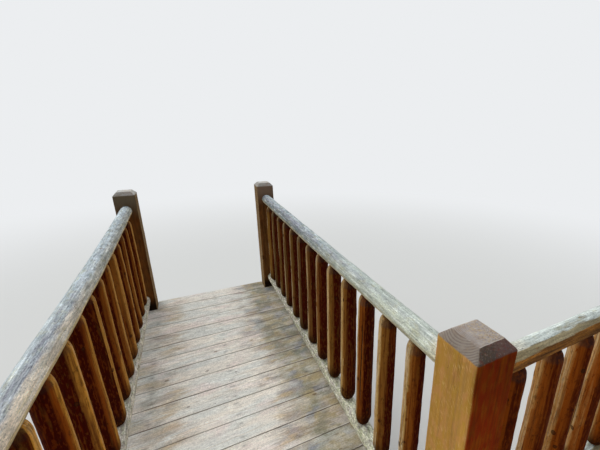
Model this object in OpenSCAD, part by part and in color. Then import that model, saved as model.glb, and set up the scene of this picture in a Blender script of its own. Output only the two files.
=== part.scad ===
// Log-railed timber deck walkway with a landing and guard wings.
// The walkway runs along +Y from the landing. The part is symmetric about X = 0 and stands on Z = 0.

/* [Walkway] */
// Height of the deck surface above the lowest ground
deck_h = 480; // [360:10:900]
// Clear width between the two rows of posts
walk_clear = 910; // [700:10:1500]
// Clear length of a railing between the near and far posts
bay_clear = 2345; // [1600:5:3200]

/* [Boards] */
// Width of a deck board
board_w = 140; // [90:1:190]
// Thickness of a deck board
board_t = 38; // [25:1:50]
// Gap between neighbouring boards
board_gap = 3; // [2:1:8]
// Radius of the eased long edges of a board
board_ease = 3; // [1:0.5:6]
// Number of boards across the landing
landing_boards_n = 5; // [4:1:9]
// Clearance where a board is notched round a post
notch_gap = 3; // [2:1:6]

/* [Joists] */
// Depth of joists, rims and ledger
joist_h = 184; // [140:1:240]
// Thickness of joists, rims and ledger
joist_t = 38; // [30:1:50]
// Widest spacing of the landing joists, centre to centre
joist_pitch_max = 430; // [300:10:600]
// Thickness of the sheet steel of a joist hanger
hanger_t = 1.5; // [1:0.1:3]
// Height of a joist hanger
hanger_h = 120; // [80:5:170]
// Reach of a joist hanger under its joist
hanger_seat = 50; // [35:1:70]
// Width of a joist hanger's nailing flanges
hanger_flange = 32; // [20:1:40]
// Radius of a bolt hole in the ledger
bolt_hole_r = 6.5; // [4:0.5:9]
// Distance of the bolt rows from the ledger's long edges
bolt_edge = 45; // [30:1:60]
// Distance of the inner bolt pairs from the middle
bolt_inner_x = 640; // [500:10:740]
// Distance of the outer bolt pairs from the middle
bolt_outer_x = 1900; // [1760:10:2050]

/* [Posts] */
// Side of a square post
post_w = 140; // [120:1:190]
// Height of a post above the deck
post_h = 1015; // [950:5:1200]
// Width of the bevel round a post's top
bevel_w = 25; // [10:1:35]
// Depth of the bevel round a post's top
bevel_h = 27; // [10:1:40]
// Chamfer of a post's long edges
post_arris = 4; // [2:0.5:8]

/* [Rails] */
// Height of the walkway rails' upper surface above the deck
rail_top_h = 913; // [860:1:940]
// Height of the guard rails' upper surface above the deck
guard_top_h = 918; // [860:1:940]
// Diameter of a walkway rail log
rail_d = 77; // [70:1:100]
// Diameter of a guard rail log
guard_rail_d = 74; // [66:1:90]
// Height of the bottom rails' axis above the deck
low_rail_h = 110; // [80:1:160]
// Diameter of the tenon at a rail's end
rail_tenon_d = 44; // [36:1:50]
// Length of the tenon at a rail's end
rail_tenon_l = 42; // [30:1:44]
// Length of the rounded shoulder at a rail's far end
rail_round = 30; // [10:1:50]
// Length of the rounded shoulder at a rail's near end
rail_butt = 5; // [3:1:12]

/* [Balusters] */
// Number of balusters in a walkway railing
baluster_n = 13; // [8:1:15]
// Distance from a near post to the first baluster of a walkway railing
baluster_first = 158; // [100:1:200]
// Mean diameter of a walkway baluster
baluster_d = 74; // [60:1:80]
// Mean diameter of a guard baluster
guard_baluster_d = 73; // [60:1:80]
// How much baluster diameters vary from piece to piece
baluster_vary = 3; // [0:0.5:4]
// How much thinner a baluster is at its top than at its foot
baluster_taper = 5; // [0:0.5:8]
// Diameter of a baluster's tenons
tenon_d = 32; // [24:1:34]
// Length of a baluster's tenons
tenon_l = 34; // [20:1:36]
// Height of the rounded shoulder of a baluster
shoulder_h = 42; // [20:1:60]
// Clearance round a tenon in its socket
socket_gap = 0.3; // [0.2:0.1:0.6]

/* [Guard wings] */
// Number of balusters in a guard
guard_n = 8; // [4:1:12]
// Distance from a post to the first baluster of a guard
guard_first = 118; // [90:1:140]
// Distance between guard balusters
guard_pitch = 177; // [130:1:185]

/* [Hidden] */
$fn = 48;
ARC = 6;                      // steps in a rounded shoulder
post_x = walk_clear / 2 + post_w / 2;
board_pitch = board_w + board_gap;
walk_boards_n = floor((bay_clear - board_gap) / board_pitch);
guard_clear = 2 * guard_first + (guard_n - 1) * guard_pitch;
guard_post_x = post_x + guard_clear + post_w;
landing_w = 2 * guard_post_x + post_w;
walk_w = walk_clear + 2 * post_w;
post_total = deck_h + post_h;
frame_z = deck_h - board_t - joist_h;
// Distances along Y are first taken from the far posts' near faces, then moved to the part's middle
far_end = post_w;
landing_front = -walk_boards_n * board_pitch;
landing_back = landing_front - landing_boards_n * board_pitch;
y_shift = -(far_end + landing_back) / 2;
near_post_y = -bay_clear - post_w / 2;
far_post_y = post_w / 2;
rim_front = -bay_clear + joist_t;
ledger_front = landing_back + joist_t;
baluster_pitch = (bay_clear - baluster_first) / baluster_n;
low_rail_z = deck_h + low_rail_h;
rail_z = deck_h + rail_top_h - rail_d / 2;
guard_rail_z = deck_h + guard_top_h - guard_rail_d / 2;
side_joist_x = walk_clear / 2 - joist_t / 2;
wing_joist_x = guard_post_x - post_w / 2 - joist_t / 2;
wing_joist_n = ceil((wing_joist_x - side_joist_x) / joist_pitch_max);
wing_joist_pitch = (wing_joist_x - side_joist_x) / wing_joist_n;
wing_joists = [for (i = [0 : wing_joist_n]) side_joist_x + i * wing_joist_pitch];
leg_inner_x = side_joist_x;
leg_outer_x = wing_joist_x;

WEATHERED = [0.62, 0.60, 0.55];
STAINED = [0.66, 0.40, 0.18];
DARK = [0.34, 0.21, 0.13];
FRAME = [0.55, 0.45, 0.32];
STEEL = [0.72, 0.74, 0.76];

SIDES = [["left", -1], ["right", 1]];
function board_name(i) = str("deck_board_", i < 10 ? "0" : "", i);
function sided(stem) = [for (s = SIDES) str(stem, "_", s[0])];

// Boards
module board_section() {
    e = board_ease;
    polygon([
        [e, 0], [board_w - e, 0], [board_w, e], [board_w, board_t - e],
        for (a = [0 : 30 : 90]) [board_w - e + e * cos(a), board_t - e + e * sin(a)],
        for (a = [90 : 30 : 180]) [e + e * cos(a), board_t - e + e * sin(a)],
        [0, e]
    ]);
}

// A board that lies along X, with its near edge at y
module board(y, length) {
    translate([-length / 2, y, deck_h - board_t])
        rotate([90, 0, 90])
            linear_extrude(length) board_section();
}

module deck_board(i) {
    color(WEATHERED) translate([0, y_shift, 0]) board(-i * board_pitch, walk_w);
}

module end_board() {
    color(WEATHERED) translate([0, y_shift, 0]) board(far_end - board_w, walk_clear - 2 * notch_gap);
}

module post_notch(x, y) {
    side = post_w + 2 * notch_gap;
    translate([x - side / 2, y - side / 2, deck_h - board_t - 1]) cube([side, side, board_t + 2]);
}

module landing_boards() {
    color(WEATHERED) translate([0, y_shift, 0]) difference() {
        for (i = [1 : landing_boards_n]) board(landing_front - i * board_pitch, landing_w);
        for (x = [-guard_post_x, -post_x, post_x, guard_post_x]) post_notch(x, near_post_y);
    }
}

// Joists, rims and legs
module beam(x, y, size_x, size_y) {
    translate([x, y, frame_z]) cube([size_x, size_y, joist_h]);
}

module side_joist(side) {
    color(FRAME) translate([side * side_joist_x - joist_t / 2, y_shift, 0])
        beam(0, rim_front, joist_t, far_end - rim_front);
}

module centre_joist() {
    color(FRAME) translate([0, y_shift, 0])
        beam(-joist_t / 2, rim_front, joist_t, far_end - joist_t - rim_front);
}

module end_header() {
    span = walk_clear - 2 * joist_t;
    color(FRAME) translate([0, y_shift, 0]) beam(-span / 2, far_end - joist_t, span, joist_t);
}

module landing_rim() {
    color(FRAME) translate([0, y_shift, 0]) beam(-landing_w / 2, -bay_clear, landing_w, joist_t);
}

module landing_ledger() {
    color(FRAME) translate([0, y_shift, 0]) difference() {
        beam(-landing_w / 2, landing_back, landing_w, joist_t);
        for (x = [-bolt_outer_x, -bolt_inner_x, bolt_inner_x, bolt_outer_x])
            for (z = [frame_z + bolt_edge, frame_z + joist_h - bolt_edge])
                translate([x, landing_back - 1, z]) rotate([-90, 0, 0]) cylinder(r = bolt_hole_r, h = joist_t + 2);
    }
}

module landing_joists() {
    color(FRAME) translate([0, y_shift, 0])
        for (x = concat([0], wing_joists, -wing_joists))
            beam(x - joist_t / 2, ledger_front, joist_t, -bay_clear - ledger_front);
}

// A folded steel saddle that carries a joist's end. Its flanges lie on the plane y = 0, and its seat
// and sloping cheeks reach towards +Y.
module hanger() {
    inner = joist_t / 2;
    outer = inner + hanger_t;
    wing = outer + hanger_flange;
    cheek = [[0, -hanger_t], [hanger_seat, -hanger_t], [hanger_seat, hanger_seat / 4],
        [2 * hanger_t, hanger_h], [0, hanger_h]];
    difference() {
        union() {
            rotate([90, 0, 90]) linear_extrude(2 * outer, center = true) polygon(cheek);
            translate([-wing, 0, 0]) cube([2 * wing, hanger_t, hanger_h]);
        }
        translate([-inner, -1, 0]) cube([joist_t, hanger_seat + 2, hanger_h + 1]);
    }
}

// The joists beside the posts are bolted to them and stand on the legs, so they need no hanger
module joist_hangers() {
    inner_joists = [for (i = [1 : wing_joist_n - 1]) wing_joists[i]];
    color(STEEL) translate([0, y_shift, frame_z]) {
        for (x = concat([0], inner_joists, -inner_joists)) {
            translate([x, ledger_front, 0]) hanger();
            translate([x, -bay_clear, 0]) mirror([0, 1, 0]) hanger();
        }
        for (x = [-side_joist_x, 0, side_joist_x]) translate([x, rim_front, 0]) hanger();
        translate([0, far_end - joist_t, 0]) mirror([0, 1, 0]) hanger();
    }
}

module leg(x) {
    color(FRAME) translate([x - post_w / 2, landing_back + y_shift, 0]) cube([post_w, post_w, frame_z]);
}

// Posts
module post_outline() {
    h = post_w / 2;
    polygon([
        [-h, 0], [h, 0], [h, post_total - bevel_h],
        [h - bevel_w, post_total], [bevel_w - h, post_total], [-h, post_total - bevel_h]
    ]);
}

module post_plan() {
    h = post_w / 2;
    c = h - post_arris;
    polygon([[-h, -c], [-c, -h], [c, -h], [h, -c], [h, c], [c, h], [-c, h], [-h, c]]);
}

module post_blank() {
    intersection() {
        linear_extrude(post_total) post_plan();
        rotate([90, 0, 0]) linear_extrude(post_w, center = true) post_outline();
        rotate([90, 0, 90]) linear_extrude(post_w, center = true) post_outline();
    }
}

// A socket bored into the face of a post, which the direction turns about Z from +X
module rail_socket(direction, z) {
    rotate([0, 0, direction]) translate([post_w / 2 - rail_tenon_l - 2, 0, z])
        rotate([0, 90, 0]) cylinder(d = rail_tenon_d + 2 * socket_gap, h = rail_tenon_l + 3);
}

module far_post(side) {
    color(DARK) translate([side * post_x, far_post_y + y_shift, 0]) difference() {
        post_blank();
        rail_socket(-90, rail_z);
        rail_socket(-90, low_rail_z);
    }
}

module near_post(side) {
    outward = side > 0 ? 0 : 180;
    color(STAINED) translate([side * post_x, near_post_y + y_shift, 0]) difference() {
        post_blank();
        rail_socket(90, rail_z);
        rail_socket(90, low_rail_z);
        rail_socket(outward, guard_rail_z);
        rail_socket(outward, low_rail_z);
    }
}

module guard_post(side) {
    inward = side > 0 ? 180 : 0;
    color(STAINED) translate([side * guard_post_x, near_post_y + y_shift, 0]) difference() {
        post_blank();
        rail_socket(inward, guard_rail_z);
        rail_socket(inward, low_rail_z);
    }
}

// Logs
// Quarter-ellipse shoulder from radius r0 at z0 to radius r1, a length l along the log
function shoulder(r0, r1, z0, l) =
    [for (i = [0 : ARC]) [r0 + (r1 - r0) * sin(90 * i / ARC), z0 + l * (1 - cos(90 * i / ARC))]];
function flipped(points, top) = [for (i = [len(points) - 1 : -1 : 0]) [points[i][0], top - points[i][1]]];

// A log along +Z from z = 0 to its length, with a round tenon beyond each end. sizes holds the
// diameters at its two ends, and rounds the lengths of its two rounded shoulders.
module log_blank(length, sizes, rounds, tenon_r, tenon, shoulder_r) {
    rotate_extrude() polygon(concat(
        [[0, -tenon], [tenon_r, -tenon], [tenon_r, 0]],
        shoulder(shoulder_r, sizes[0] / 2, 0, rounds[0]),
        flipped(shoulder(shoulder_r, sizes[1] / 2, 0, rounds[1]), length),
        [[tenon_r, length], [tenon_r, length + tenon], [0, length + tenon]]
    ));
}

module rail(length, d, far_round) {
    log_blank(length, [d, d], [rail_butt, far_round], rail_tenon_d / 2, rail_tenon_l, rail_tenon_d / 2 + 2);
}

// Sockets for balusters at the given places along a log that lies along +Z, opening towards +X
module baluster_sockets(places, d) {
    for (z = places)
        translate([d / 2 - tenon_l - 2, 0, z]) rotate([0, 90, 0])
            cylinder(d = tenon_d + 2 * socket_gap, h = tenon_l + 3);
}

walk_places = [for (i = [0 : baluster_n - 1]) baluster_first + i * baluster_pitch];
guard_places = [for (i = [0 : guard_n - 1]) guard_first + i * guard_pitch];

// A walkway rail, with its sockets opening down on the top rail and up on the bottom rail
module walk_rail(side, z, opening) {
    color(WEATHERED) translate([side * post_x, -bay_clear + y_shift, z])
        rotate([-90, 0, 0]) difference() {
            rail(bay_clear, rail_d, rail_round);
            rotate([0, 0, opening]) baluster_sockets(walk_places, rail_d);
        }
}

module top_rail(side) {
    walk_rail(side, rail_z, 90);
}

module bottom_rail(side) {
    walk_rail(side, low_rail_z, -90);
}

// A guard rail runs outward along X from the near post
module guard_rail(side, z, opening) {
    start = post_x + post_w / 2;
    color(WEATHERED) mirror([side > 0 ? 0 : 1, 0, 0])
        translate([start, near_post_y + y_shift, z]) rotate([0, 90, 0]) difference() {
            rail(guard_clear, guard_rail_d, rail_butt);
            rotate([0, 0, opening]) baluster_sockets(guard_places, guard_rail_d);
        }
}

module guard_top_rail(side) {
    guard_rail(side, guard_rail_z, 0);
}

module guard_bottom_rail(side) {
    guard_rail(side, low_rail_z, 180);
}

// A baluster stands on the log below it and reaches the log above it
module baluster(d, low, high) {
    translate([0, 0, low])
        log_blank(high - low, [d, d - baluster_taper], [shoulder_h, shoulder_h],
            tenon_d / 2, tenon_l, tenon_d / 2 + 3);
}

// Each peeled log has its own thickness
function log_sizes(n, mean, seed) = [for (v = rands(-1, 1, n, seed)) mean + baluster_vary * v];

module balusters(side) {
    sizes = log_sizes(baluster_n, baluster_d, 31 + side);
    color(STAINED) translate([side * post_x, -bay_clear + y_shift, 0])
        for (i = [0 : baluster_n - 1])
            translate([0, walk_places[i], 0])
                baluster(sizes[i], low_rail_z + rail_d / 2, rail_z - rail_d / 2);
}

module guard_balusters(side) {
    sizes = log_sizes(guard_n, guard_baluster_d, 57 + side);
    color(STAINED) for (i = [0 : guard_n - 1])
        translate([side * (post_x + post_w / 2 + guard_places[i]), near_post_y + y_shift, 0])
            baluster(sizes[i], low_rail_z + guard_rail_d / 2, guard_rail_z - guard_rail_d / 2);
}

for (i = [1 : walk_boards_n])
    deck_board(i);
end_board();
landing_boards();
centre_joist();
end_header();
landing_rim();
landing_ledger();
landing_joists();
joist_hangers();
for (s = SIDES) {
    side_joist(s[1]);
    leg(s[1] * leg_inner_x);
    leg(s[1] * leg_outer_x);
    far_post(s[1]);
    near_post(s[1]);
    guard_post(s[1]);
    top_rail(s[1]);
    bottom_rail(s[1]);
    balusters(s[1]);
    guard_top_rail(s[1]);
    guard_bottom_rail(s[1]);
    guard_balusters(s[1]);
}
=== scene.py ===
"""Looks of the log-railed deck walkway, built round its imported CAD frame.

Lengths are metres in the part's own frame: X across the walkway, +Y along it, +Z up. Every colour is
written as 0 to 255 sRGB numbers.
"""

import logging
import math
from dataclasses import dataclass, field, replace
from enum import Enum
from typing import Any, Iterable, Optional, Sequence, Union

import bpy
import numpy as np
from mathutils import Matrix, Vector


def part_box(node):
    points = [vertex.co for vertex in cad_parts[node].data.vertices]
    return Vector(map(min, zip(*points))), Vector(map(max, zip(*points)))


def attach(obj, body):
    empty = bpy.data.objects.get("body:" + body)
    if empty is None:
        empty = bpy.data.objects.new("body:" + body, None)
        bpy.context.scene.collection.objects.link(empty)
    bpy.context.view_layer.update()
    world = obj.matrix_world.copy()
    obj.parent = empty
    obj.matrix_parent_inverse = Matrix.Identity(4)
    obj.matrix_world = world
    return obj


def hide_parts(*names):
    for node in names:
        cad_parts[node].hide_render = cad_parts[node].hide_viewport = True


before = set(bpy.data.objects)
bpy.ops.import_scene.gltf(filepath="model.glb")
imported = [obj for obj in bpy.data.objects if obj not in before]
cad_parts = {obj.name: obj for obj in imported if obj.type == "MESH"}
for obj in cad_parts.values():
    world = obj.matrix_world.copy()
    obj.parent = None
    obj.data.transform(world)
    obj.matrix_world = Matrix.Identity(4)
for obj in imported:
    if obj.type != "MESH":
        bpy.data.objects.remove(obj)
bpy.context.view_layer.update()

LOG = logging.getLogger("walkway")
TAU = 2 * math.pi
Array = np.ndarray
Waves = tuple[tuple[float, float, float], ...]
Colour = tuple[float, float, float]
Pair = tuple[float, float]


class Slot(Enum):
    """Names of material slots for the new pieces. Nothing in this script gives a piece one."""

    DECK = "deck_board"
    RAIL = "weathered_log"
    BALUSTER = "stained_log"
    POST = "stained_post"
    DARK_POST = "dark_post"
    STEEL = "galvanised_steel"


class Axis(Enum):
    """The way a piece of timber runs. The value gives the world axes of its own (a, b, along)."""

    X = (1, 2, 0)
    Y = (2, 0, 1)
    Z = (0, 1, 2)


class Side(Enum):
    """The two sides of the walkway."""

    LEFT = -1
    RIGHT = 1

    @property
    def tag(self) -> str:
        """The side's word in a node's name."""
        return self.name.lower()


def linear(colour: Colour) -> tuple[float, float, float, float]:
    """Turns an sRGB colour from 0 to 255 into the linear values that a shader takes, with alpha 1."""
    values = [c / 255 for c in colour]
    return tuple(v / 12.92 if v <= 0.04045 else ((v + 0.055) / 1.055) ** 2.4 for v in values) + (1.0,)


def ripple(points: Array, wavelength: float, rng: np.random.Generator, waves: int = 22) -> Array:
    """Gives smooth random relief, mostly between -1 and 1.

    Formula: the sum of cosines of (direction . point + phase) over random directions, whose wavelengths
    lie between 0.6 and 1.7 times the one given, divided so that the spread is the same for any count.

    Args:
        points: places, with three coordinates in the last axis.
        wavelength: the typical distance between crests.
        rng: the source of the directions and phases.
        waves: how many cosines are summed.

    Returns:
        One value for each place.
    """
    flow = rng.normal(size=(3, waves))
    flow *= TAU / (np.linalg.norm(flow, axis=0) * wavelength * rng.uniform(0.6, 1.7, waves))
    phase = rng.uniform(0, TAU, waves)
    return np.cos(points @ flow + phase).sum(-1) * 0.5 / math.sqrt(waves / 2)


def wander(along: Array, wavelength: float, rng: np.random.Generator) -> Array:
    """Gives a smooth random value, mostly between -1 and 1, that changes only along a piece."""
    return ripple(np.stack([along, 0 * along, 0 * along], -1), wavelength, rng, 9)


def relief(points: Array, waves: Waves, along: int, rng: np.random.Generator) -> Array:
    """Sums ripples that are drawn out along the grain.

    Args:
        points: places, with three coordinates in the last axis.
        waves: each ripple's height, its wavelength across the grain, and the factor that the places along
            the grain are multiplied by first.
        along: which coordinate runs along the grain.
        rng: the source of the ripples.

    Returns:
        The height at each place.
    """
    total = np.zeros(points.shape[:-1])
    for height, wavelength, squeeze in waves:
        factors = np.ones(3)
        factors[along] = squeeze
        total += height * ripple(points * factors, wavelength, rng)
    return total


def hill(distance: Array, width: float) -> Array:
    """Falls from 1 at no distance along the curve exp(-(distance / width) squared)."""
    return np.exp(-(distance / width) ** 2)


def smooth(x: Array, low: float, high: float) -> Array:
    """Rises from 0 at low to 1 at high along the curve t t (3 - 2 t)."""
    t = np.clip((x - low) / (high - low), 0, 1)
    return t * t * (3 - 2 * t)


@dataclass
class Shell:
    """A closed surface with values at its points."""

    points: Array
    quads: Array
    tris: Array
    marks: dict[str, Array]

    @classmethod
    def from_rings(cls, rings: Array, marks: Optional[dict[str, Array]] = None) -> "Shell":
        """Closes a grid of rings into a shell.

        Each row of the grid is a closed ring, counter-clockwise when seen from the far end of the piece.
        Neighbouring rings are joined by quads, and each end is closed by a fan to the ring's mean.

        Args:
            rings: points in rows and columns, with three coordinates each.
            marks: values in the same rows and columns, each a number or three numbers.

        Returns:
            The shell.
        """
        rows, cols = rings.shape[:2]
        row = np.arange(rows - 1)[:, None] * cols
        here = np.arange(cols)
        after = (here + 1) % cols
        quads = np.stack([row + here, row + after, row + cols + after, row + cols + here], -1)
        low, high, top = rows * cols, rows * cols + 1, (rows - 1) * cols
        fans = [
            np.stack([np.full(cols, low), after, here], -1),
            np.stack([np.full(cols, high), top + here, top + after], -1),
        ]

        def with_poles(grid: Array) -> Array:
            """Lays a grid out as a list, and adds the means of its first and last rows."""
            flat = grid.reshape(rows * cols, -1)
            return np.concatenate([flat, grid[0].reshape(cols, -1).mean(0)[None],
                                   grid[-1].reshape(cols, -1).mean(0)[None]])

        return cls(with_poles(rings), quads.reshape(-1, 4), np.concatenate(fans),
                   {name: with_poles(value) for name, value in (marks or {}).items()})

    @classmethod
    def joined(cls, shells: Sequence["Shell"]) -> "Shell":
        """Puts several shells that hold the same marks into one."""
        starts = np.cumsum([0] + [len(s.points) for s in shells[:-1]])
        return cls(
            np.concatenate([s.points for s in shells]),
            np.concatenate([s.quads + n for s, n in zip(shells, starts)]),
            np.concatenate([s.tris + n for s, n in zip(shells, starts)]),
            {name: np.concatenate([s.marks[name] for s in shells]) for name in shells[0].marks},
        )

    def mesh(self, name: str, crease: float) -> bpy.types.Mesh:
        """Makes a Blender mesh.

        Args:
            name: the mesh's name.
            crease: the angle in degrees past which an edge stays sharp.

        Returns:
            The mesh, with its marks as attributes.
        """
        mesh = bpy.data.meshes.new(name)
        mesh.vertices.add(len(self.points))
        mesh.vertices.foreach_set("co", self.points.astype(np.float32).ravel())
        corners = np.concatenate([self.quads.ravel(), self.tris.ravel()]).astype(np.int32)
        sizes = np.repeat([4, 3], [len(self.quads), len(self.tris)])
        mesh.loops.add(len(corners))
        mesh.loops.foreach_set("vertex_index", corners)
        mesh.polygons.add(len(sizes))
        mesh.polygons.foreach_set("loop_start", (np.cumsum(sizes) - sizes).astype(np.int32))
        mesh.polygons.foreach_set("use_smooth", np.ones(len(sizes), bool))
        mesh.update(calc_edges=True)
        mesh.validate()
        mesh.set_sharp_from_angle(angle=math.radians(crease))
        for mark, value in self.marks.items():
            wide = value.shape[1] == 3
            layer = mesh.attributes.new(mark, "FLOAT_VECTOR" if wide else "FLOAT", "POINT")
            layer.data.foreach_set("vector" if wide else "value", value.astype(np.float32).ravel())
        return mesh


def place(a: Array, b: Array, along: Array, axis: Axis) -> Array:
    """Stacks a piece's own coordinates as world points."""
    world = [None, None, None]
    for source, target in zip((a, b, along), axis.value):
        world[target] = source
    return np.stack(np.broadcast_arrays(*world), -1)


@dataclass
class Spots:
    """Knots or screws on a surface that is unrolled to (across, along), in metres.

    The mark that they leave holds, at each point, the way to the nearest spot in units of its radius.
    """

    across: Array
    along: Array
    radius: Array
    stretch: float = 1.3

    FAR = 9.0
    FADE = (2.6, 4.0)

    def marks(self, name: str, across: Array, along: Array,
              period: Optional[Array] = None) -> dict[str, Array]:
        """Finds the nearest spot from every point.

        Args:
            name: the mark's name.
            across: where the points lie across the grain.
            along: where they lie along it.
            period: the distance round a log, where the surface closes on itself.

        Returns:
            The mark (across, along, nearness), with nearness 1 at a spot and 0 from four radii away.
        """
        if not len(self.radius):
            return {name: np.full(along.shape + (3,), (self.FAR, self.FAR, 0.0))}
        da = across[..., None] - self.across
        if period is not None:
            turn = period[..., None]
            da = (da + turn / 2) % turn - turn / 2
        da = da / self.radius
        ds = (along[..., None] - self.along) / (self.radius * self.stretch)
        away = np.hypot(da, ds)
        best = away.argmin(-1)[..., None]
        da, ds, away = (np.take_along_axis(v, best, -1)[..., 0] for v in (da, ds, away))
        way = [np.clip(v, -self.FAR, self.FAR) for v in (da, ds)]
        return {name: np.stack([*way, 1 - smooth(away, *self.FADE)], -1)}


def spot_distance(mark: Array) -> Array:
    """Returns the distance to the nearest spot in radii, from its mark."""
    return np.hypot(mark[..., 0], mark[..., 1])


@dataclass
class PeeledLog:
    """A log peeled by hand, with rounded shoulders and round tenons.

    Its ring at a station s is a polygon of drawknife flats, softened and mixed with a circle, plus long
    ripples, knots and one drying crack. The grid's lines crowd towards the crack and follow it. Its radii,
    its rounded shoulders and its sag are pairs: the first two for its start and its end, and the last for
    its own a and b axes. Its tenon is a pair of a radius and a length.
    """

    axis: Axis
    start: tuple[float, float, float]
    length: float
    radii: Pair
    rounds: Pair
    neck: float
    tenon: Pair
    seed: int
    cols: int = 72
    step: float = 0.0065
    flats: int = 11
    flatness: float = 0.75
    bow: float = 0.002
    sag: Pair = (0.0, 0.0)
    knots: int = 8
    knot_size: Pair = (0.005, 0.012)
    crack: float = 0.004
    crack_at: float = 1.2
    crack_width: float = 0.0011
    crowding: float = 0.72
    tone: float = 0.5

    ARC = 7
    CHAMFER = 0.003
    KNOT_MARGIN = 0.07
    EDGE_SHARPNESS = 70.0
    LEAST_COSINE = 0.35
    FAR_FLAT = 9.0
    WAVES: Waves = ((0.0007, 0.05, 0.2), (0.0004, 0.012, 0.25))
    KNOT_HEIGHTS = ((0.0022, 1.7), (-0.0012, 0.75))

    def stations(self) -> tuple[Array, Array, Array]:
        """Lists the places of the rings.

        Returns:
            The distance along the log, the plain radius there, and how rough the surface is, from 0 to 1.
        """
        turn = np.linspace(0, math.pi / 2, self.ARC)
        rise, run = np.sin(turn), 1 - np.cos(turn)
        low, high = self.rounds
        body = np.arange(low, self.length - high, self.step)[1:]
        first, last = self.radii
        body_radius = first + (last - first) * (body - low) / (self.length - low - high)
        r_tenon, l_tenon = self.tenon
        r_end = r_tenon - self.CHAMFER
        s = np.concatenate([[-l_tenon, -l_tenon + self.CHAMFER, 0.0], run * low, body,
                            self.length - run[::-1] * high,
                            [self.length, self.length + l_tenon - self.CHAMFER, self.length + l_tenon]])
        radius = np.concatenate([[r_end, r_tenon, r_tenon], self.neck + (first - self.neck) * rise,
                                 body_radius, self.neck + (last - self.neck) * rise[::-1],
                                 [r_tenon, r_tenon, r_end]])
        rough = np.concatenate([[0, 0, 0], rise, np.ones(len(body)), rise[::-1], [0, 0, 0]])
        return s, radius, rough

    def flatted(self, s: Array, theta: Array, rng: np.random.Generator) -> Array:
        """Works out the polygon of drawknife flats.

        Formula: the distance to each flat is its depth over the cosine of the angle to its middle, and the
        flats are joined by the soft minimum -log(sum exp(-k d)) / k, scaled to a mean of 1.

        Args:
            s: the rings' places along the log.
            theta: the points' angles.
            rng: the source of the flats' places and depths.

        Returns:
            The radius at each point as a share of the plain one.
        """
        facing = TAU * (np.arange(self.flats) + rng.uniform(-0.3, 0.3, self.flats)) / self.flats
        depth = np.stack([1 + 0.022 * wander(s, 0.5, rng) for _ in range(self.flats)], -1)
        turn = np.cos(theta[..., None] - facing)
        reach = np.where(turn > self.LEAST_COSINE, depth[:, None, :] / np.maximum(turn, self.LEAST_COSINE),
                         self.FAR_FLAT)
        polygon = -np.log(np.exp(-self.EDGE_SHARPNESS * reach).sum(-1)) / self.EDGE_SHARPNESS
        return polygon / polygon[len(s) // 2].mean()

    def groove(self, s: Array, aside: Array, rng: np.random.Generator) -> Array:
        """Works out the drying crack.

        Formula: across the crack the depth is a hill of its width. Along the log it opens by a power of a
        sine over most of the length, times a smooth random value.

        Args:
            s: the rings' places along the log.
            aside: the points' angles from the crack.
            rng: the source of the random value.

        Returns:
            The depth at each point as a share of the full one.
        """
        share = np.clip((s - 0.05 * self.length) / (0.86 * self.length), 0, 1)
        opening = np.sin(share * math.pi) ** 0.4
        gape = np.clip(opening * (0.75 + 0.5 * wander(s, 0.25, rng)), 0, 1.2)
        return hill(aside * self.radii[0], self.crack_width) * gape[:, None]

    def shell(self) -> Shell:
        """Builds the log.

        Returns:
            The closed surface, with marks for knots, ends, crack and tone.
        """
        rng = np.random.default_rng(self.seed)
        s, radius, rough = self.stations()
        column = np.arange(self.cols) / self.cols
        path = self.crack_at + 0.22 * wander(s, 0.8, rng)
        theta = path[:, None] + TAU * column - self.crowding * np.sin(TAU * column)
        shape = 1 + rough[:, None] * self.flatness * (self.flatted(s, theta, rng) - 1)
        skin = place(radius[:, None] * np.cos(theta), radius[:, None] * np.sin(theta), s[:, None], Axis.Z)
        lumps = relief(skin, self.WAVES, 2, rng)
        spots = Spots(rng.uniform(0, TAU, self.knots) * self.radii[0],
                      rng.uniform(self.KNOT_MARGIN, self.length - self.KNOT_MARGIN, self.knots),
                      rng.uniform(*self.knot_size, self.knots))
        marks = spots.marks("knot", theta * self.radii[0], np.broadcast_to(s[:, None], theta.shape),
                            np.full(theta.shape, TAU * self.radii[0]))
        away = spot_distance(marks["knot"])
        lumps += sum(height * hill(away, width) for height, width in self.KNOT_HEIGHTS)
        groove = self.groove(s, (theta - path[:, None] + math.pi) % TAU - math.pi, rng)
        r = radius[:, None] * shape + rough[:, None] * (lumps - self.crack * groove)
        arch = rough * np.sin(np.clip(s / self.length, 0, 1) * math.pi)
        lean = rng.uniform(0, TAU)
        shift = [arch * (self.bow * turned + sag) for turned, sag in
                 zip((math.cos(lean), math.sin(lean)), self.sag)]
        origin = [self.start[i] for i in self.axis.value]
        points = place(origin[0] + r * np.cos(theta) + shift[0][:, None],
                       origin[1] + r * np.sin(theta) + shift[1][:, None],
                       origin[2] + s[:, None], self.axis)
        ends = np.broadcast_to(np.minimum(s, self.length - s)[:, None], theta.shape)
        marks |= {"ends": ends, "crack": groove, "tone": np.full(theta.shape, self.tone)}
        return Shell.from_rings(points, marks)


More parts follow.
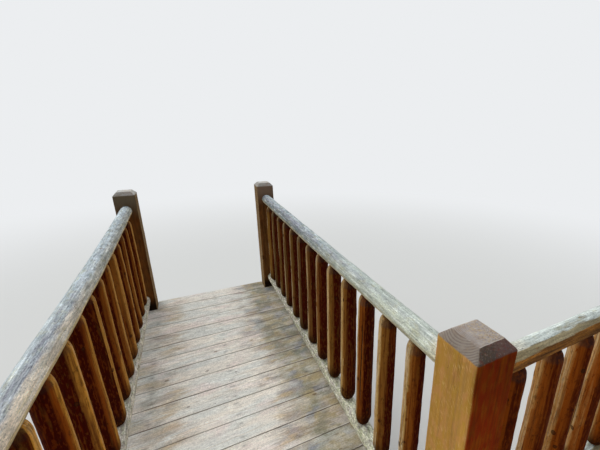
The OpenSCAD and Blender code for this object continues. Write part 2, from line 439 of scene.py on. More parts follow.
@dataclass
class Board:
    """A deck board along X with eased edges, a little cupped, with raised grain, knots and worn ends.

    Its section at a station x runs between two edges that are functions of x, so that a notch is a step
    in one of them. A notch is the two places along the board between which it lies, and the place that
    its edge is cut back to.
    """

    ends: Pair
    edges: Pair
    top: float
    thickness: float
    ease: float
    seed: int
    screws: Array = field(default_factory=lambda: np.zeros((0, 2)))
    notches: list[tuple[float, float, float]] = field(default_factory=list)
    step: float = 0.011
    cup: float = 0.0006
    knots: int = 3

    TOP = 25
    SAW = 0.001
    WORN = 0.0018
    UNEVEN = 0.0006
    SCREW_RADIUS = 0.0052
    WAVES: Waves = ((0.00028, 0.016, 0.06), (0.000168, 0.007, 0.1))

    def outline(self) -> Array:
        """Lists the section's points, counter-clockwise from the lower low edge when seen from +X.

        Returns:
            Rows of (share of the width, share of the ease across, share of the thickness, share of the
            ease down, 1 on the top face).
        """
        across = np.linspace(0, 1, 7)
        top = np.linspace(1, 0, self.TOP)
        arc = np.linspace(0, math.pi / 2, 5)[1:-1]
        rows = [[a, (1 - 2 * a) * 0.5, 0, 0, 0] for a in across]
        rows += [[1, 0, 0, 0.5, 0], [1, 0, 0.5, 0, 0], [1, 0, 1, -1, 0]]
        rows += [[1, -1 + math.cos(t), 1, -1 + math.sin(t), 1] for t in arc]
        rows += [[a, 1 - 2 * a, 1, 0, 1] for a in top]
        rows += [[0, 1 - math.sin(t), 1, -1 + math.cos(t), 1] for t in arc]
        rows += [[0, 0, 1, -1, 0], [0, 0, 0.5, 0, 0], [0, 0, 0, 0.5, 0]]
        return np.array(rows)

    def stations(self) -> tuple[Array, Array, Array]:
        """Lists the places along the board.

        Returns:
            The place, the inset of the section there at a worn end, and 1 or 0 for full or flush rings.
        """
        low, high = self.ends
        count = max(2, round((high - low - 2 * self.WORN) / self.step))
        body = np.linspace(low + self.WORN, high - self.WORN, count + 1)
        cuts = [x + d for a, b, _ in self.notches for x in (a, b) for d in (-self.SAW, self.SAW)]
        body = np.unique(np.round(np.concatenate([body, cuts]), 6))
        half_way = self.WORN * (1 - math.cos(math.pi / 4))
        x = np.concatenate([[low, low + half_way], body, [high - half_way, high]])
        inset = np.concatenate([[self.WORN, half_way], np.zeros(len(body)), [half_way, self.WORN]])
        return x, inset, np.concatenate([[0, 0], np.ones(len(body)), [0, 0]])

    def shell(self) -> Shell:
        """Builds the board.

        Returns:
            The closed surface, with marks for knots and screws.
        """
        rng = np.random.default_rng(self.seed)
        x, inset, full = self.stations()
        low, high = self.cut_edges(x, rng)
        line = self.outline()
        ease = self.ease * (1 + 0.35 * wander(x, 0.3, rng))[:, None]
        width = (high - low)[:, None]
        y = low[:, None] + line[:, 0] * width + line[:, 1] * ease
        z = self.top - self.thickness + line[:, 2] * self.thickness + line[:, 3] * ease
        centre_y = ((low + high) / 2)[:, None]
        y = centre_y + (y - centre_y) * (1 - 2 * inset[:, None] / width)
        centre_z = self.top - self.thickness / 2
        z = centre_z + (z - centre_z) * (1 - 2 * inset[:, None] / self.thickness)
        grid_x = np.broadcast_to(x[:, None], y.shape)
        grain = relief(np.stack([grid_x, y, z], -1), self.WAVES, 0, rng)
        spots = Spots(rng.uniform(self.edges[0] + 0.02, self.edges[1] - 0.02, self.knots),
                      rng.uniform(self.ends[0] + 0.05, self.ends[1] - 0.05, self.knots),
                      rng.uniform(0.0035, 0.0075, self.knots), 1.6)
        marks = spots.marks("knot", y, grid_x)
        holes = Spots(self.screws[:, 1], self.screws[:, 0], np.full(len(self.screws), self.SCREW_RADIUS), 1.0)
        marks |= holes.marks("screw", y, grid_x)
        from_middle = (y - sum(self.edges) / 2) / (0.5 * (self.edges[1] - self.edges[0]))
        height = (grain + self.cup * (from_middle ** 2 - 1)
                  + 0.0007 * hill(spot_distance(marks["knot"]), 1.5)
                  - 0.0006 * hill(spot_distance(marks["screw"]), 1.6))
        z = z + line[:, 4] * full[:, None] * height
        return Shell.from_rings(np.stack([grid_x, y, z], -1), marks)

    def cut_edges(self, x: Array, rng: np.random.Generator) -> tuple[Array, Array]:
        """Works out the low and high edges at each station, a little uneven and cut back at the notches."""
        low, high = (edge + self.UNEVEN * wander(x, 0.5, rng) for edge in self.edges)
        for start, end, cut in self.notches:
            inside = (x > start) & (x < end)
            if cut > sum(self.edges) / 2:
                high = np.where(inside, np.minimum(high, cut), high)
            else:
                low = np.where(inside, np.maximum(low, cut), low)
        return low, high


@dataclass
class SquarePost:
    """A square post with worn corners and a bevelled top, and drying cracks on some faces.

    Its ring is a square whose half-width shrinks over the bevel and then to the middle of the top. The
    bevel is a pair of its width and its depth. A crack is a groove that winds up a face, and the grid's
    lines crowd towards it. Cracks holds the depth for each face, from +X round by +Y.
    """

    centre: Pair
    half: float
    height: float
    bevel: Pair
    arris: float
    seed: int
    cracks: tuple[float, float, float, float] = (0, 0, 0, 0)
    step: float = 0.012

    FACE = 15
    SOFT = 0.0012
    KNOTS = 4
    CRACK_WIDTH = 0.0012
    FULL_CRACK = 0.004
    WAVES: Waves = ((0.0004, 0.03, 0.08), (0.00025, 0.01, 0.12))

    def stations(self) -> tuple[Array, Array, Array]:
        """Lists the rings from the foot to the middle of the top.

        Returns:
            The height, the half-width, and how rough the surface is.
        """
        width, depth = self.bevel
        shoulder = self.height - depth
        body = np.linspace(0.002, shoulder - self.SOFT, max(3, round(shoulder / self.step)))
        share = np.array([0.08, 0.35, 0.65, 0.94])
        slope = [shoulder + depth * share, self.half - width * share]
        top = np.array([0.985, 0.8, 0.6, 0.4, 0.2, 0.07]) * (self.half - width)
        z = np.concatenate([[0], body, slope[0], np.full(len(top), self.height)])
        half = np.concatenate([[self.half - 0.002], np.full(len(body), self.half), slope[1], top])
        rough = np.concatenate([[0], np.ones(len(body)), np.full(4, 0.4), np.full(len(top), 0.5)])
        return z, half, rough

    def shell(self) -> Shell:
        """Builds the post.

        Returns:
            The closed surface, with marks for knots and cracks.
        """
        rng = np.random.default_rng(self.seed)
        z, half, rough = self.stations()
        corner = self.arris * (1 + 0.25 * wander(z, 0.2, rng)) * np.minimum(1, half / self.half * 1.3)
        faces = [self.face(turn, deep, z, half, corner, rng) for turn, deep in enumerate(self.cracks)]
        flat = np.concatenate([face for face, _ in faces], 1)
        groove = np.concatenate([crack for _, crack in faces], 1)
        grid_z = np.broadcast_to(z[:, None], groove.shape)
        skin = np.concatenate([flat, grid_z[..., None]], -1)
        size = np.maximum(np.abs(flat).max(-1), self.half * 0.6)
        push = 1 + (rough[:, None] * relief(skin, self.WAVES, 2, rng) - groove) / size
        flat = flat * push[..., None]
        on_top = (grid_z >= self.height - 1e-6) & (half[:, None] < self.half - self.bevel[0] - 1e-4)
        rise = np.where(on_top, 0.0005 * ripple(skin, 0.02, rng) - 0.0004, 0)
        around = np.arctan2(flat[..., 1], flat[..., 0]) * self.half * 4 / math.pi
        spots = Spots(rng.uniform(-4, 4, self.KNOTS) * self.half,
                      rng.uniform(0.1, self.height - 0.1, self.KNOTS),
                      rng.uniform(0.006, 0.012, self.KNOTS), 1.5)
        marks = spots.marks("knot", around, grid_z)
        marks["crack"] = np.clip(groove / self.FULL_CRACK, 0, 1)
        points = np.concatenate([flat + np.array(self.centre), (grid_z + rise)[..., None]], -1)
        return Shell.from_rings(points, marks)

    def face(self, turn: int, deep: float, z: Array, half: Array, corner: Array,
             rng: np.random.Generator) -> tuple[Array, Array]:
        """Lays out one face and the corner that follows it.

        Formula: the points lie across the face at t times its half-width. On a cracked face t is drawn
        towards the crack's path by a power, on each side of it.

        Args:
            turn: the face's number, counter-clockwise from +X.
            deep: the depth of its crack, or 0.
            z: the rings' heights.
            half: the rings' half-widths.
            corner: how far the corner is rounded at each ring.
            rng: the source of the crack's path and opening.

        Returns:
            The points about the post's axis, and the depth of the crack at each.
        """
        line = np.linspace(-1, 1, self.FACE)
        path = (0.25 * rng.uniform(-1, 1) + 0.12 * wander(z, 0.5, rng))[:, None]
        gape = np.clip(0.5 + 0.7 * wander(z, 0.35, rng), 0, 1) * (half > self.half - 0.001)
        t = np.broadcast_to(line, (len(z), self.FACE))
        if deep:
            spread = np.sign(line) * np.abs(line) ** 2.1
            t = path + (1 + np.where(spread < 0, path, -path)) * spread
        reach = (half - corner)[:, None]
        across = t * reach
        groove = deep * hill(across - path * reach, self.CRACK_WIDTH) * gape[:, None]
        out = np.broadcast_to(half[:, None], across.shape)
        bead = (half - 0.42 * corner)[:, None]
        across = np.concatenate([across, bead], 1)
        out = np.concatenate([out, bead], 1)
        groove = np.concatenate([groove, 0 * bead], 1)
        cos, sin = math.cos(turn * math.pi / 2), math.sin(turn * math.pi / 2)
        return np.stack([out * cos - across * sin, out * sin + across * cos], -1), groove


@dataclass(frozen=True)
class Turned:
    """A small turned steel piece, such as a screw head: a profile of (radius, height) spun about an axis.

    Each piece is turned by its own angle, so that they don't all stand the same way.
    """

    TURN = 0.7

    profile: tuple[Pair, ...]
    sides: int

    def shells(self, places: Array, axis: Axis, sign: float = 1.0) -> Shell:
        """Spins the profile at each place.

        Formula: each ring is radius (cos t, sin t) at its height, and each copy is turned by its own angle.

        Args:
            places: the centres of the pieces' seats.
            axis: the way they point.
            sign: 1 to point along the axis, -1 to point against it.

        Returns:
            All the pieces as one shell.
        """
        radius, height = np.array(self.profile).T
        shells = []
        for number, spot in enumerate(places):
            turn = sign * (np.arange(self.sides) / self.sides * TAU + number * self.TURN)
            origin = [spot[i] for i in axis.value]
            rings = place(origin[0] + radius[:, None] * np.cos(turn),
                          origin[1] + radius[:, None] * np.sin(turn),
                          origin[2] + sign * height[:, None], axis)
            shells.append(Shell.from_rings(rings))
        return Shell.joined(shells)


class Socket:
    """One value in a shader. Arithmetic on it adds the Math nodes that work it out."""

    def __init__(self, graph: "Graph", socket: bpy.types.NodeSocket) -> None:
        """Wraps a node's output."""
        self.graph = graph
        self.socket = socket

    def __add__(self, other: "Number") -> "Socket":
        """Returns self + other."""
        return self.graph.maths("ADD", self, other)

    def __sub__(self, other: "Number") -> "Socket":
        """Returns self - other."""
        return self.graph.maths("SUBTRACT", self, other)

    def __rsub__(self, other: "Number") -> "Socket":
        """Returns other - self."""
        return self.graph.maths("SUBTRACT", other, self)

    def __mul__(self, other: "Number") -> "Socket":
        """Returns self times other."""
        return self.graph.maths("MULTIPLY", self, other)

    def __truediv__(self, other: "Number") -> "Socket":
        """Returns self divided by other."""
        return self.graph.maths("DIVIDE", self, other)

    def __rtruediv__(self, other: "Number") -> "Socket":
        """Returns other divided by self."""
        return self.graph.maths("DIVIDE", other, self)

    def __neg__(self) -> "Socket":
        """Returns minus self."""
        return self.graph.maths("MULTIPLY", self, -1.0)

    __radd__ = __add__
    __rmul__ = __mul__


Number = Union[float, Socket]


class Graph:
    """A node tree of a material or of the world, and the ways to add nodes to it."""

    def __init__(self, owner: Union[bpy.types.Material, bpy.types.World]) -> None:
        """Starts an empty tree on a material or world."""
        self.owner = owner
        owner.use_nodes = True
        self.tree = owner.node_tree
        self.tree.nodes.clear()

    def node(self, kind: str, settings: Optional[dict[str, Any]] = None,
             sockets: Optional[dict[Any, Any]] = None) -> bpy.types.Node:
        """Adds a node.

        Args:
            kind: the node's type.
            settings: its properties, set first.
            sockets: numbers, colours or links for its inputs, by name or number.

        Returns:
            The node.
        """
        node = self.tree.nodes.new(kind)
        for name, value in (settings or {}).items():
            setattr(node, name, value)
        for name, value in (sockets or {}).items():
            if isinstance(value, Socket):
                self.tree.links.new(value.socket, node.inputs[name])
            else:
                node.inputs[name].default_value = value
        return node

    def out(self, node: bpy.types.Node, name: Union[int, str] = 0) -> Socket:
        """Returns a node's output as a Socket."""
        return Socket(self, node.outputs[name])

    def maths(self, operation: str, *values: Number) -> Socket:
        """Returns the result of a Math node."""
        return self.out(self.node("ShaderNodeMath", {"operation": operation}, dict(enumerate(values))))

    def parts(self, vector: Socket) -> tuple[Socket, Socket, Socket]:
        """Returns the three numbers of a vector."""
        split = self.node("ShaderNodeSeparateXYZ", sockets={0: vector})
        return self.out(split, 0), self.out(split, 1), self.out(split, 2)

    def vector(self, x: Number, y: Number, z: Number) -> Socket:
        """Returns a vector of three numbers."""
        return self.out(self.node("ShaderNodeCombineXYZ", sockets={0: x, 1: y, 2: z}))

    def clamp(self, value: Number) -> Socket:
        """Returns a value held between 0 and 1."""
        return self.out(self.node("ShaderNodeClamp", sockets={0: value}))

    def step(self, value: Number, low: float, high: float) -> Socket:
        """Returns a smooth rise from 0 at low to 1 at high, or a fall if low is the greater."""
        start, end = (0.0, 1.0) if low < high else (1.0, 0.0)
        return self.out(self.node("ShaderNodeMapRange", {"interpolation_type": "SMOOTHSTEP"},
                                  {0: value, 1: min(low, high), 2: max(low, high), 3: start, 4: end}))

    def noise(self, place_at: Socket, detail: float = 3.0, rough: float = 0.55) -> Socket:
        """Returns cloudy noise about 0.5, with one cell to each unit of the place."""
        return self.out(self.node("ShaderNodeTexNoise", {"noise_dimensions": "3D"},
                                  {"Vector": place_at, "Scale": 1.0, "Detail": detail, "Roughness": rough}))

    def vector_maths(self, operation: str, *values: Any) -> Socket:
        """Returns the result of a Vector Math node that gives a vector."""
        return self.out(self.node("ShaderNodeVectorMath", {"operation": operation}, dict(enumerate(values))))

    def length(self, vector: Socket) -> Socket:
        """Returns a vector's length."""
        return self.out(self.node("ShaderNodeVectorMath", {"operation": "LENGTH"}, {0: vector}), "Value")

    def mix(self, share: Number, first: Any, second: Any, blend: str = "MIX") -> Socket:
        """Returns a share of the second colour mixed into the first. Each is a colour or a link."""
        first, second = (c if isinstance(c, Socket) else linear(c) for c in (first, second))
        settings = {"data_type": "RGBA", "blend_type": blend}
        return self.out(self.node("ShaderNodeMix", settings, {0: share, 6: first, 7: second}), 2)

    def shade(self, colour: Socket, light: Number) -> Socket:
        """Returns a colour made lighter or darker by a factor."""
        return self.out(self.node("ShaderNodeVectorMath", {"operation": "SCALE"}, {0: colour, 3: light}))


@dataclass(frozen=True)
class Cloud:
    """Noise with cells of a size across and along the grain, moved by a shift.

    With a span it is a mask that rises from 0 to 1 between two values, and without one it is plain noise
    about 0.5. A shared cloud runs on over the seams between boards.
    """

    across: float
    along: float
    shift: float = 0.0
    span: Optional[Pair] = None
    detail: float = 3.0
    rough: float = 0.55
    shared: bool = False


Swings = tuple[tuple[Cloud, float], ...]
Patches = tuple[tuple[Cloud, Colour], ...]


@dataclass(frozen=True)
class Flaws:
    """The colours of knots, of the dark rings round them and of drying cracks.

    The shares say how much the first two cover.
    """

    knot: Colour
    ring: Colour
    crack: Colour
    knot_share: float
    ring_share: float


class TimberGraph(Graph):
    """A material's tree that knows the places and marks on the object, and lays its colour coat by coat."""

    KNOT_EDGE = Cloud(0.006, 0.006, 3.0, shared=True)

    def __init__(self, name: str, axis: Axis = Axis.X) -> None:
        """Starts a material.

        Args:
            name: the material's name.
            axis: the way the grain runs.
        """
        super().__init__(bpy.data.materials.new(name))
        self.axis = axis
        self.place = self.out(self.node("ShaderNodeTexCoord"), "Object")
        self.own = self.place
        self.x, self.y, self.z = self.parts(self.place)
        self.nx, self.ny, self.nz = self.parts(self.out(self.node("ShaderNodeNewGeometry"), "Normal"))
        self.clouds: dict[Cloud, Socket] = {}
        self.colour = self.place

    def scaled(self, across: float, along: float, shift: float = 0.0, shared: bool = False) -> Socket:
        """Returns the place in cells of a size across and along the grain, moved by a shift."""
        size = [1 / across] * 3
        size[self.axis.value[2]] = 1 / along
        return self.vector_maths("MULTIPLY_ADD", self.place if shared else self.own, size, (shift,) * 3)

    def cloud(self, form: Cloud) -> Socket:
        """Returns a cloud's noise or mask. Each is made once."""
        if form not in self.clouds:
            place = self.scaled(form.across, form.along, form.shift, form.shared)
            value = self.noise(place, form.detail, form.rough)
            self.clouds[form] = self.step(value, *form.span) if form.span else value
        return self.clouds[form]

    def sway(self, swings: Swings) -> Socket:
        """Returns the sum of each cloud less a half, times its amount."""
        return sum(amount * (self.cloud(form) - 0.5) for form, amount in swings)

    def patched(self, colour: Any, patches: Patches, share: Number = 1.0) -> Socket:
        """Returns a colour with patches of others over a share of it, each over what came before it."""
        for form, patch in patches:
            colour = self.mix(share * self.cloud(form), colour, patch)
        return colour

    def lay(self, share: Number, colour: Any, blend: str = "MIX") -> None:
        """Lays a colour over a share of the surface."""
        self.colour = self.mix(share, self.colour, colour, blend)

    def light(self, factor: Number) -> None:
        """Makes the surface lighter or darker by a factor."""
        self.colour = self.shade(self.colour, factor)

    def grain(self, swings: Swings) -> None:
        """Makes the surface lighter and darker with each cloud, by its amount."""
        for form, amount in swings:
            self.light(1 + amount * (self.cloud(form) - 0.5))

    def rings(self, heart: Socket, density: float, warp: Socket) -> Socket:
        """Returns the late wood of the growth rings about a heart, with so many rings to a metre."""
        return self.late_wood(self.length(heart) * density + warp, 0.3, 0.88)

    def late_wood(self, count: Socket, low: float, high: float) -> Socket:
        """Returns the late wood of a count of rings: a slow rise through each ring and a sudden end."""
        share = self.maths("FRACT", count)
        return self.step(share, low, high) * self.step(share, 1.0, 0.94)

    def mark(self, name: str) -> tuple[Socket, Socket, Socket]:
        """Returns the three numbers of a mark on the mesh."""
        return self.parts(self.out(self.node("ShaderNodeAttribute", {"attribute_name": name}), "Vector"))

    def value(self, name: str) -> Socket:
        """Returns a mark that is one number."""
        return self.out(self.node("ShaderNodeAttribute", {"attribute_name": name}), "Fac")

    def lay_knots(self, flaws: Flaws) -> Socket:
        """Lays the knots and the dark rings round them.

        Args:
            flaws: their colours and shares.

        Returns:
            The mask of the rings.
        """
        across, along, near = self.mark("knot")
        away = self.maths("SQRT", across * across + along * along) + 0.35 * (self.cloud(self.KNOT_EDGE) - 0.5)
        inside = self.step(away, 1.0, 0.8) * near
        ring = self.step(away, 1.35, 1.02) * self.step(away, 0.7, 0.95) * near
        self.lay(flaws.knot_share * inside, flaws.knot)
        self.lay(flaws.ring_share * ring, flaws.ring)
        return ring

    def lay_split(self, flaws: Flaws) -> None:
        """Lays the colour of the wide drying cracks that the mesh is marked with."""
        self.lay(self.clamp(self.value("crack") * 1.3), flaws.crack)

    def cracks(self, form: Cloud, width: float) -> Socket:
        """Returns fine drying cracks: the contour line where stretched noise crosses its middle."""
        line = self.maths("ABSOLUTE", self.cloud(form) - 0.5)
        here = Cloud(form.across * 3, form.along * 1.5, form.shift + 7, (0.52, 0.6), 1.0)
        return self.step(line, width, width * 0.3) * self.cloud(here)

    def finish(self, rough: Number, height: Number, gloss: float, metal: float = 0.0) -> bpy.types.Material:
        """Ends the material.

        Args:
            rough: its roughness.
            height: the relief in metres.
            gloss: its specular level.
            metal: 1 for bare metal.

        Returns:
            The material.
        """
        bump = self.node("ShaderNodeBump", sockets={"Strength": 1.0, "Distance": 1.0, "Height": height})
        surface = self.node("ShaderNodeBsdfPrincipled", sockets={
            "Base Color": self.colour, "Roughness": rough, "Metallic": metal, "Normal": self.out(bump),
            "Specular IOR Level": gloss})
        self.node("ShaderNodeOutputMaterial", sockets={"Surface": self.out(surface)})
        return self.owner


class BoardGraph(TimberGraph):
    """The deck's tree, which tells the boards apart by the whole number of pitches to each.

    Every board has three random numbers of its own, and a grain that flows round its knots.
    """

    BEND = 0.009

    def __init__(self, name: str, datum: float, pitch: float) -> None:
        """Starts the deck's material.

        Args:
            name: the material's name.
            datum: the near edge of the board that is counted as the first.
            pitch: from board to board.
        """
        super().__init__(name, Axis.X)
        lane = (self.y - datum) / pitch
        board = self.maths("FLOOR", lane)
        self.share = lane - board
        luck = self.node("ShaderNodeTexWhiteNoise", {"noise_dimensions": "1D"}, {"W": board + 0.5})
        self.luck = self.parts(self.out(luck, "Color"))
        across, along, near = self.mark("knot")
        bend = self.maths("EXPONENT", -(across * across + along * along) * 0.35) * near
        line = self.y - across * bend * self.BEND
        self.from_datum = line - datum - board * pitch
        self.own = self.vector(self.x + 13.7 * self.luck[0], line + 3.1 * self.luck[1], self.z)


@dataclass(frozen=True)
class DeckFinish:
    """Deck boards worn pale along the walkway's middle, with old stain and mould left beside it.

    A border is a pair of places across the walkway: where a layer starts, and where it is full. Tongues of
    stain make the borders ragged.
    """

    pitch: float
    datum: float
    cream: Colour = (244, 239, 228)
    rose: Colour = (236, 222, 216)
    grey: Colour = (196, 193, 188)
    gold: Colour = (184, 156, 104)
    brown: Colour = (150, 128, 104)
    mauve: Colour = (150, 136, 134)
    straw: Colour = (176, 162, 118)
    teal: Colour = (142, 154, 150)
    seam: Colour = (84, 70, 54)
    worn_edge: Colour = (240, 236, 226)
    screw_rust: Colour = (92, 84, 78)
    sawn_side: Colour = (120, 100, 76)
    sawn_end: tuple[Colour, Colour] = ((150, 138, 120), (96, 80, 62))
    flaws: Flaws = Flaws((112, 88, 62), (84, 66, 48), (84, 70, 54), 0.55, 0.55)
    left_border: Pair = (-0.2, -0.33)
    damp_border: Pair = (-0.34, -0.44)
    right_border: Pair = (0.1, 0.24)
    mould_border: Pair = (0.22, 0.36)
    wing_border: Pair = (0.5, 0.75)
    band: Cloud = Cloud(0.016, 0.3, rough=0.6)
    streak: Cloud = Cloud(0.0045, 0.09, rough=0.6)
    fine: Cloud = Cloud(0.0016, 0.03, rough=0.6)
    fleck: Cloud = Cloud(0.004, 0.014, 17, (0.36, 0.6), rough=0.6)
    dapple: Cloud = Cloud(0.014, 0.05, 80, (0.36, 0.64), rough=0.6)
    specks: Cloud = Cloud(0.0035, 0.008, 14, (0.67, 0.74), 2, 0.5)
    wood_patches: Patches = ((Cloud(0.12, 0.45, 3, (0.42, 0.6), 2), (232, 234, 228)),)
    rose_patches: Cloud = Cloud(0.16, 0.28, 21, (0.48, 0.66), shared=True)
    tongue: Swings = ((Cloud(0.008, 0.16, 9, rough=0.6), 0.2), (Cloud(0.07, 0.2, 10, detail=1), 0.16))
    brush: Swings = ((streak, 0.7), (band, 0.3))
    golden: Cloud = Cloud(0.07, 0.17, 12, None, 2, 0.5)
    golden_patches: Patches = ((Cloud(0.07, 0.16, 4, (0.4, 0.6), 2), brown),)
    dusky: Cloud = Cloud(0.065, 0.18, 30, None, 2, 0.5)
    dusky_patches: Patches = (
        (Cloud(0.1, 0.1, 41, (0.48, 0.62), 1, shared=True), (136, 142, 148)),
        (Cloud(0.1, 0.1, 47, (0.46, 0.58), 1, shared=True), brown),
        (Cloud(0.08, 0.14, 36, (0.54, 0.64), 1), gold))
    mould: Cloud = Cloud(0.07, 0.07, 33, (0.4, 0.6), rough=0.6, shared=True)
    mould_patches: Patches = ((Cloud(0.1, 0.1, 52, (0.4, 0.58), 1, shared=True), (138, 140, 116)),
                              (Cloud(0.09, 0.1, 57, (0.56, 0.68), 1, shared=True), (136, 142, 148)))
    damp_patches: Patches = ((Cloud(0.16, 0.16, 62, (0.44, 0.56), 1, shared=True), grey),)
    swings: Swings = ((Cloud(0.016, 0.3, 0, (0.25, 0.75), rough=0.6), 0.2), (streak, 0.4), (fine, 0.2),
                      (Cloud(0.0045, 0.007, 5, (0.32, 0.68), 2, 0.6), 0.3),
                      (Cloud(0.012, 0.016, 71, (0.35, 0.65), 2, 0.6, True), 0.12))
    worn_places: Cloud = Cloud(0.5, 0.16, 60, (0.44, 0.58), 2)
    crack_line: Cloud = Cloud(0.012, 0.25, 8, detail=1)
    crack_places: Cloud = Cloud(0.05, 0.2, 2, (0.55, 0.65), 1)
    ring_density: float = 210.0
    ring_warp: Cloud = Cloud(0.03, 0.3, detail=2)
    heart_sway: Swings = ((Cloud(0.4, 0.9, detail=1), 0.06),)
    heart_depth: float = 0.43

    def build(self) -> bpy.types.Material:
        """Makes the material, from the bare wood to the flaws in it."""
        g = BoardGraph("deck_board_weathered", self.datum, self.pitch)
        late = self.late_wood(g)
        self.wood(g)
        self.stains(g)
        g.light(1.07 - 0.2 * g.step(g.y, -0.1, 1.0))
        g.light(1 + 0.22 * g.step(g.y, -0.8, 0.8) * (g.cloud(self.dapple) - 0.5))
        g.lay(0.22 * late, self.gold, "MULTIPLY")
        g.grain(self.swings)
        g.lay(0.5 * g.cloud(self.specks), self.seam)
        ring = g.lay_knots(self.flaws)
        crack = self.edges(g)
        self.cut_faces(g, late)
        streak, fine = g.cloud(self.streak), g.cloud(self.fine)
        height = 0.00035 * streak + 0.0002 * fine - 0.0003 * late - 0.0008 * crack - 0.0004 * ring
        return g.finish(0.72 + 0.16 * fine, height, 0.15)

    def late_wood(self, g: BoardGraph) -> Socket:
        """Returns the late wood of rings about a heart that lies at its own place under each board."""
        chance, other, third = g.luck
        across = g.from_datum - (0.1 + 0.8 * chance) * self.pitch + g.sway(self.heart_sway)
        down = g.z - self.heart_depth - 0.12 * third + g.x * (other - 0.5) * 0.05
        return g.rings(g.vector(0, across, down), self.ring_density, 1.6 * g.cloud(self.ring_warp))

    def wood(self, g: BoardGraph) -> None:
        """Lays the bleached wood, greyer on some boards."""
        g.colour = g.patched(self.cream, self.wood_patches)
        g.lay(g.cloud(self.rose_patches) * 0.7, self.rose)
        g.lay(g.clamp(0.5 * g.luck[0] - 0.1) * g.step(g.cloud(self.band), 0.35, 0.65), self.grey)

    def stains(self, g: BoardGraph) -> None:
        """Lays golden stain on the left, dusky stain on the right, and mould and damp at the sides."""
        tongue = g.sway(self.tongue) + 0.06 * (g.luck[2] - 0.5)
        outer_place = g.x + 0.6 * tongue
        right = g.step(g.x + tongue, *self.right_border)
        fleck = 0.75 + 0.25 * g.cloud(self.fleck)
        brush = g.sway(self.brush)
        nearby = 0.05 * g.step(g.y, 0.6, 0.0)
        golden = g.step(g.cloud(self.golden) + brush + nearby, 0.4, 0.68)
        golden = golden * g.step(g.x + tongue, *self.left_border) * fleck
        g.lay(golden * 0.66, g.patched(self.gold, self.golden_patches))
        dusky = g.step(g.cloud(self.dusky) + brush, 0.36, 0.62) * right * fleck
        g.lay(dusky * 0.78, g.patched(self.mauve, self.dusky_patches))
        g.light(1 - 0.05 * right)
        mould = g.step(outer_place, *self.mould_border)
        growth = (0.55 + 0.45 * g.cloud(self.mould)) * fleck
        g.lay(mould * growth * 0.8, g.patched(self.straw, self.mould_patches))
        g.light(1 - 0.08 * mould)
        g.lay(g.step(outer_place, *self.damp_border) * growth * 0.45, g.patched(self.teal, self.damp_patches))
        wing = g.step(g.maths("ABSOLUTE", g.x), *self.wing_border)
        g.lay(wing * 0.5 * golden, g.mix(g.cloud(self.band), self.grey, self.brown))

    def edges(self, g: BoardGraph) -> Socket:
        """Lays a painted highlight in patches along one edge of each board, dark lines at the seams, drying
        cracks and rust round the screws. Returns the cracks.
        """
        # Painted highlight: a pale line where the eased edge catches the light.
        g.lay(0.6 * g.step(g.share, 0.06, 0.02) * g.cloud(self.worn_places), self.worn_edge)
        g.lay(0.4 * g.clamp(g.step(g.share, 0.018, 0.003) + g.step(g.share, 0.955, 0.973)), self.seam)
        line = g.maths("ABSOLUTE", g.cloud(self.crack_line) - 0.5)
        crack = g.step(line, 0.006, 0.002) * g.cloud(self.crack_places)
        g.lay(0.7 * crack, self.flaws.crack)
        across, along, near = g.mark("screw")
        rust = g.maths("EXPONENT", -(across * across + along * along * 0.12) * 0.5) * near
        g.lay(0.4 * rust, self.screw_rust)
        return crack

    def cut_faces(self, g: BoardGraph, late: Socket) -> None:
        """Lays the darker wood of the boards' sides, and end grain on their ends."""
        g.lay(0.6 * g.step(g.nz, 0.75, 0.35), self.sawn_side)
        end = g.step(g.maths("ABSOLUTE", g.nx), 0.6, 0.9)
        g.lay(0.75 * end, g.mix(late, *self.sawn_end))


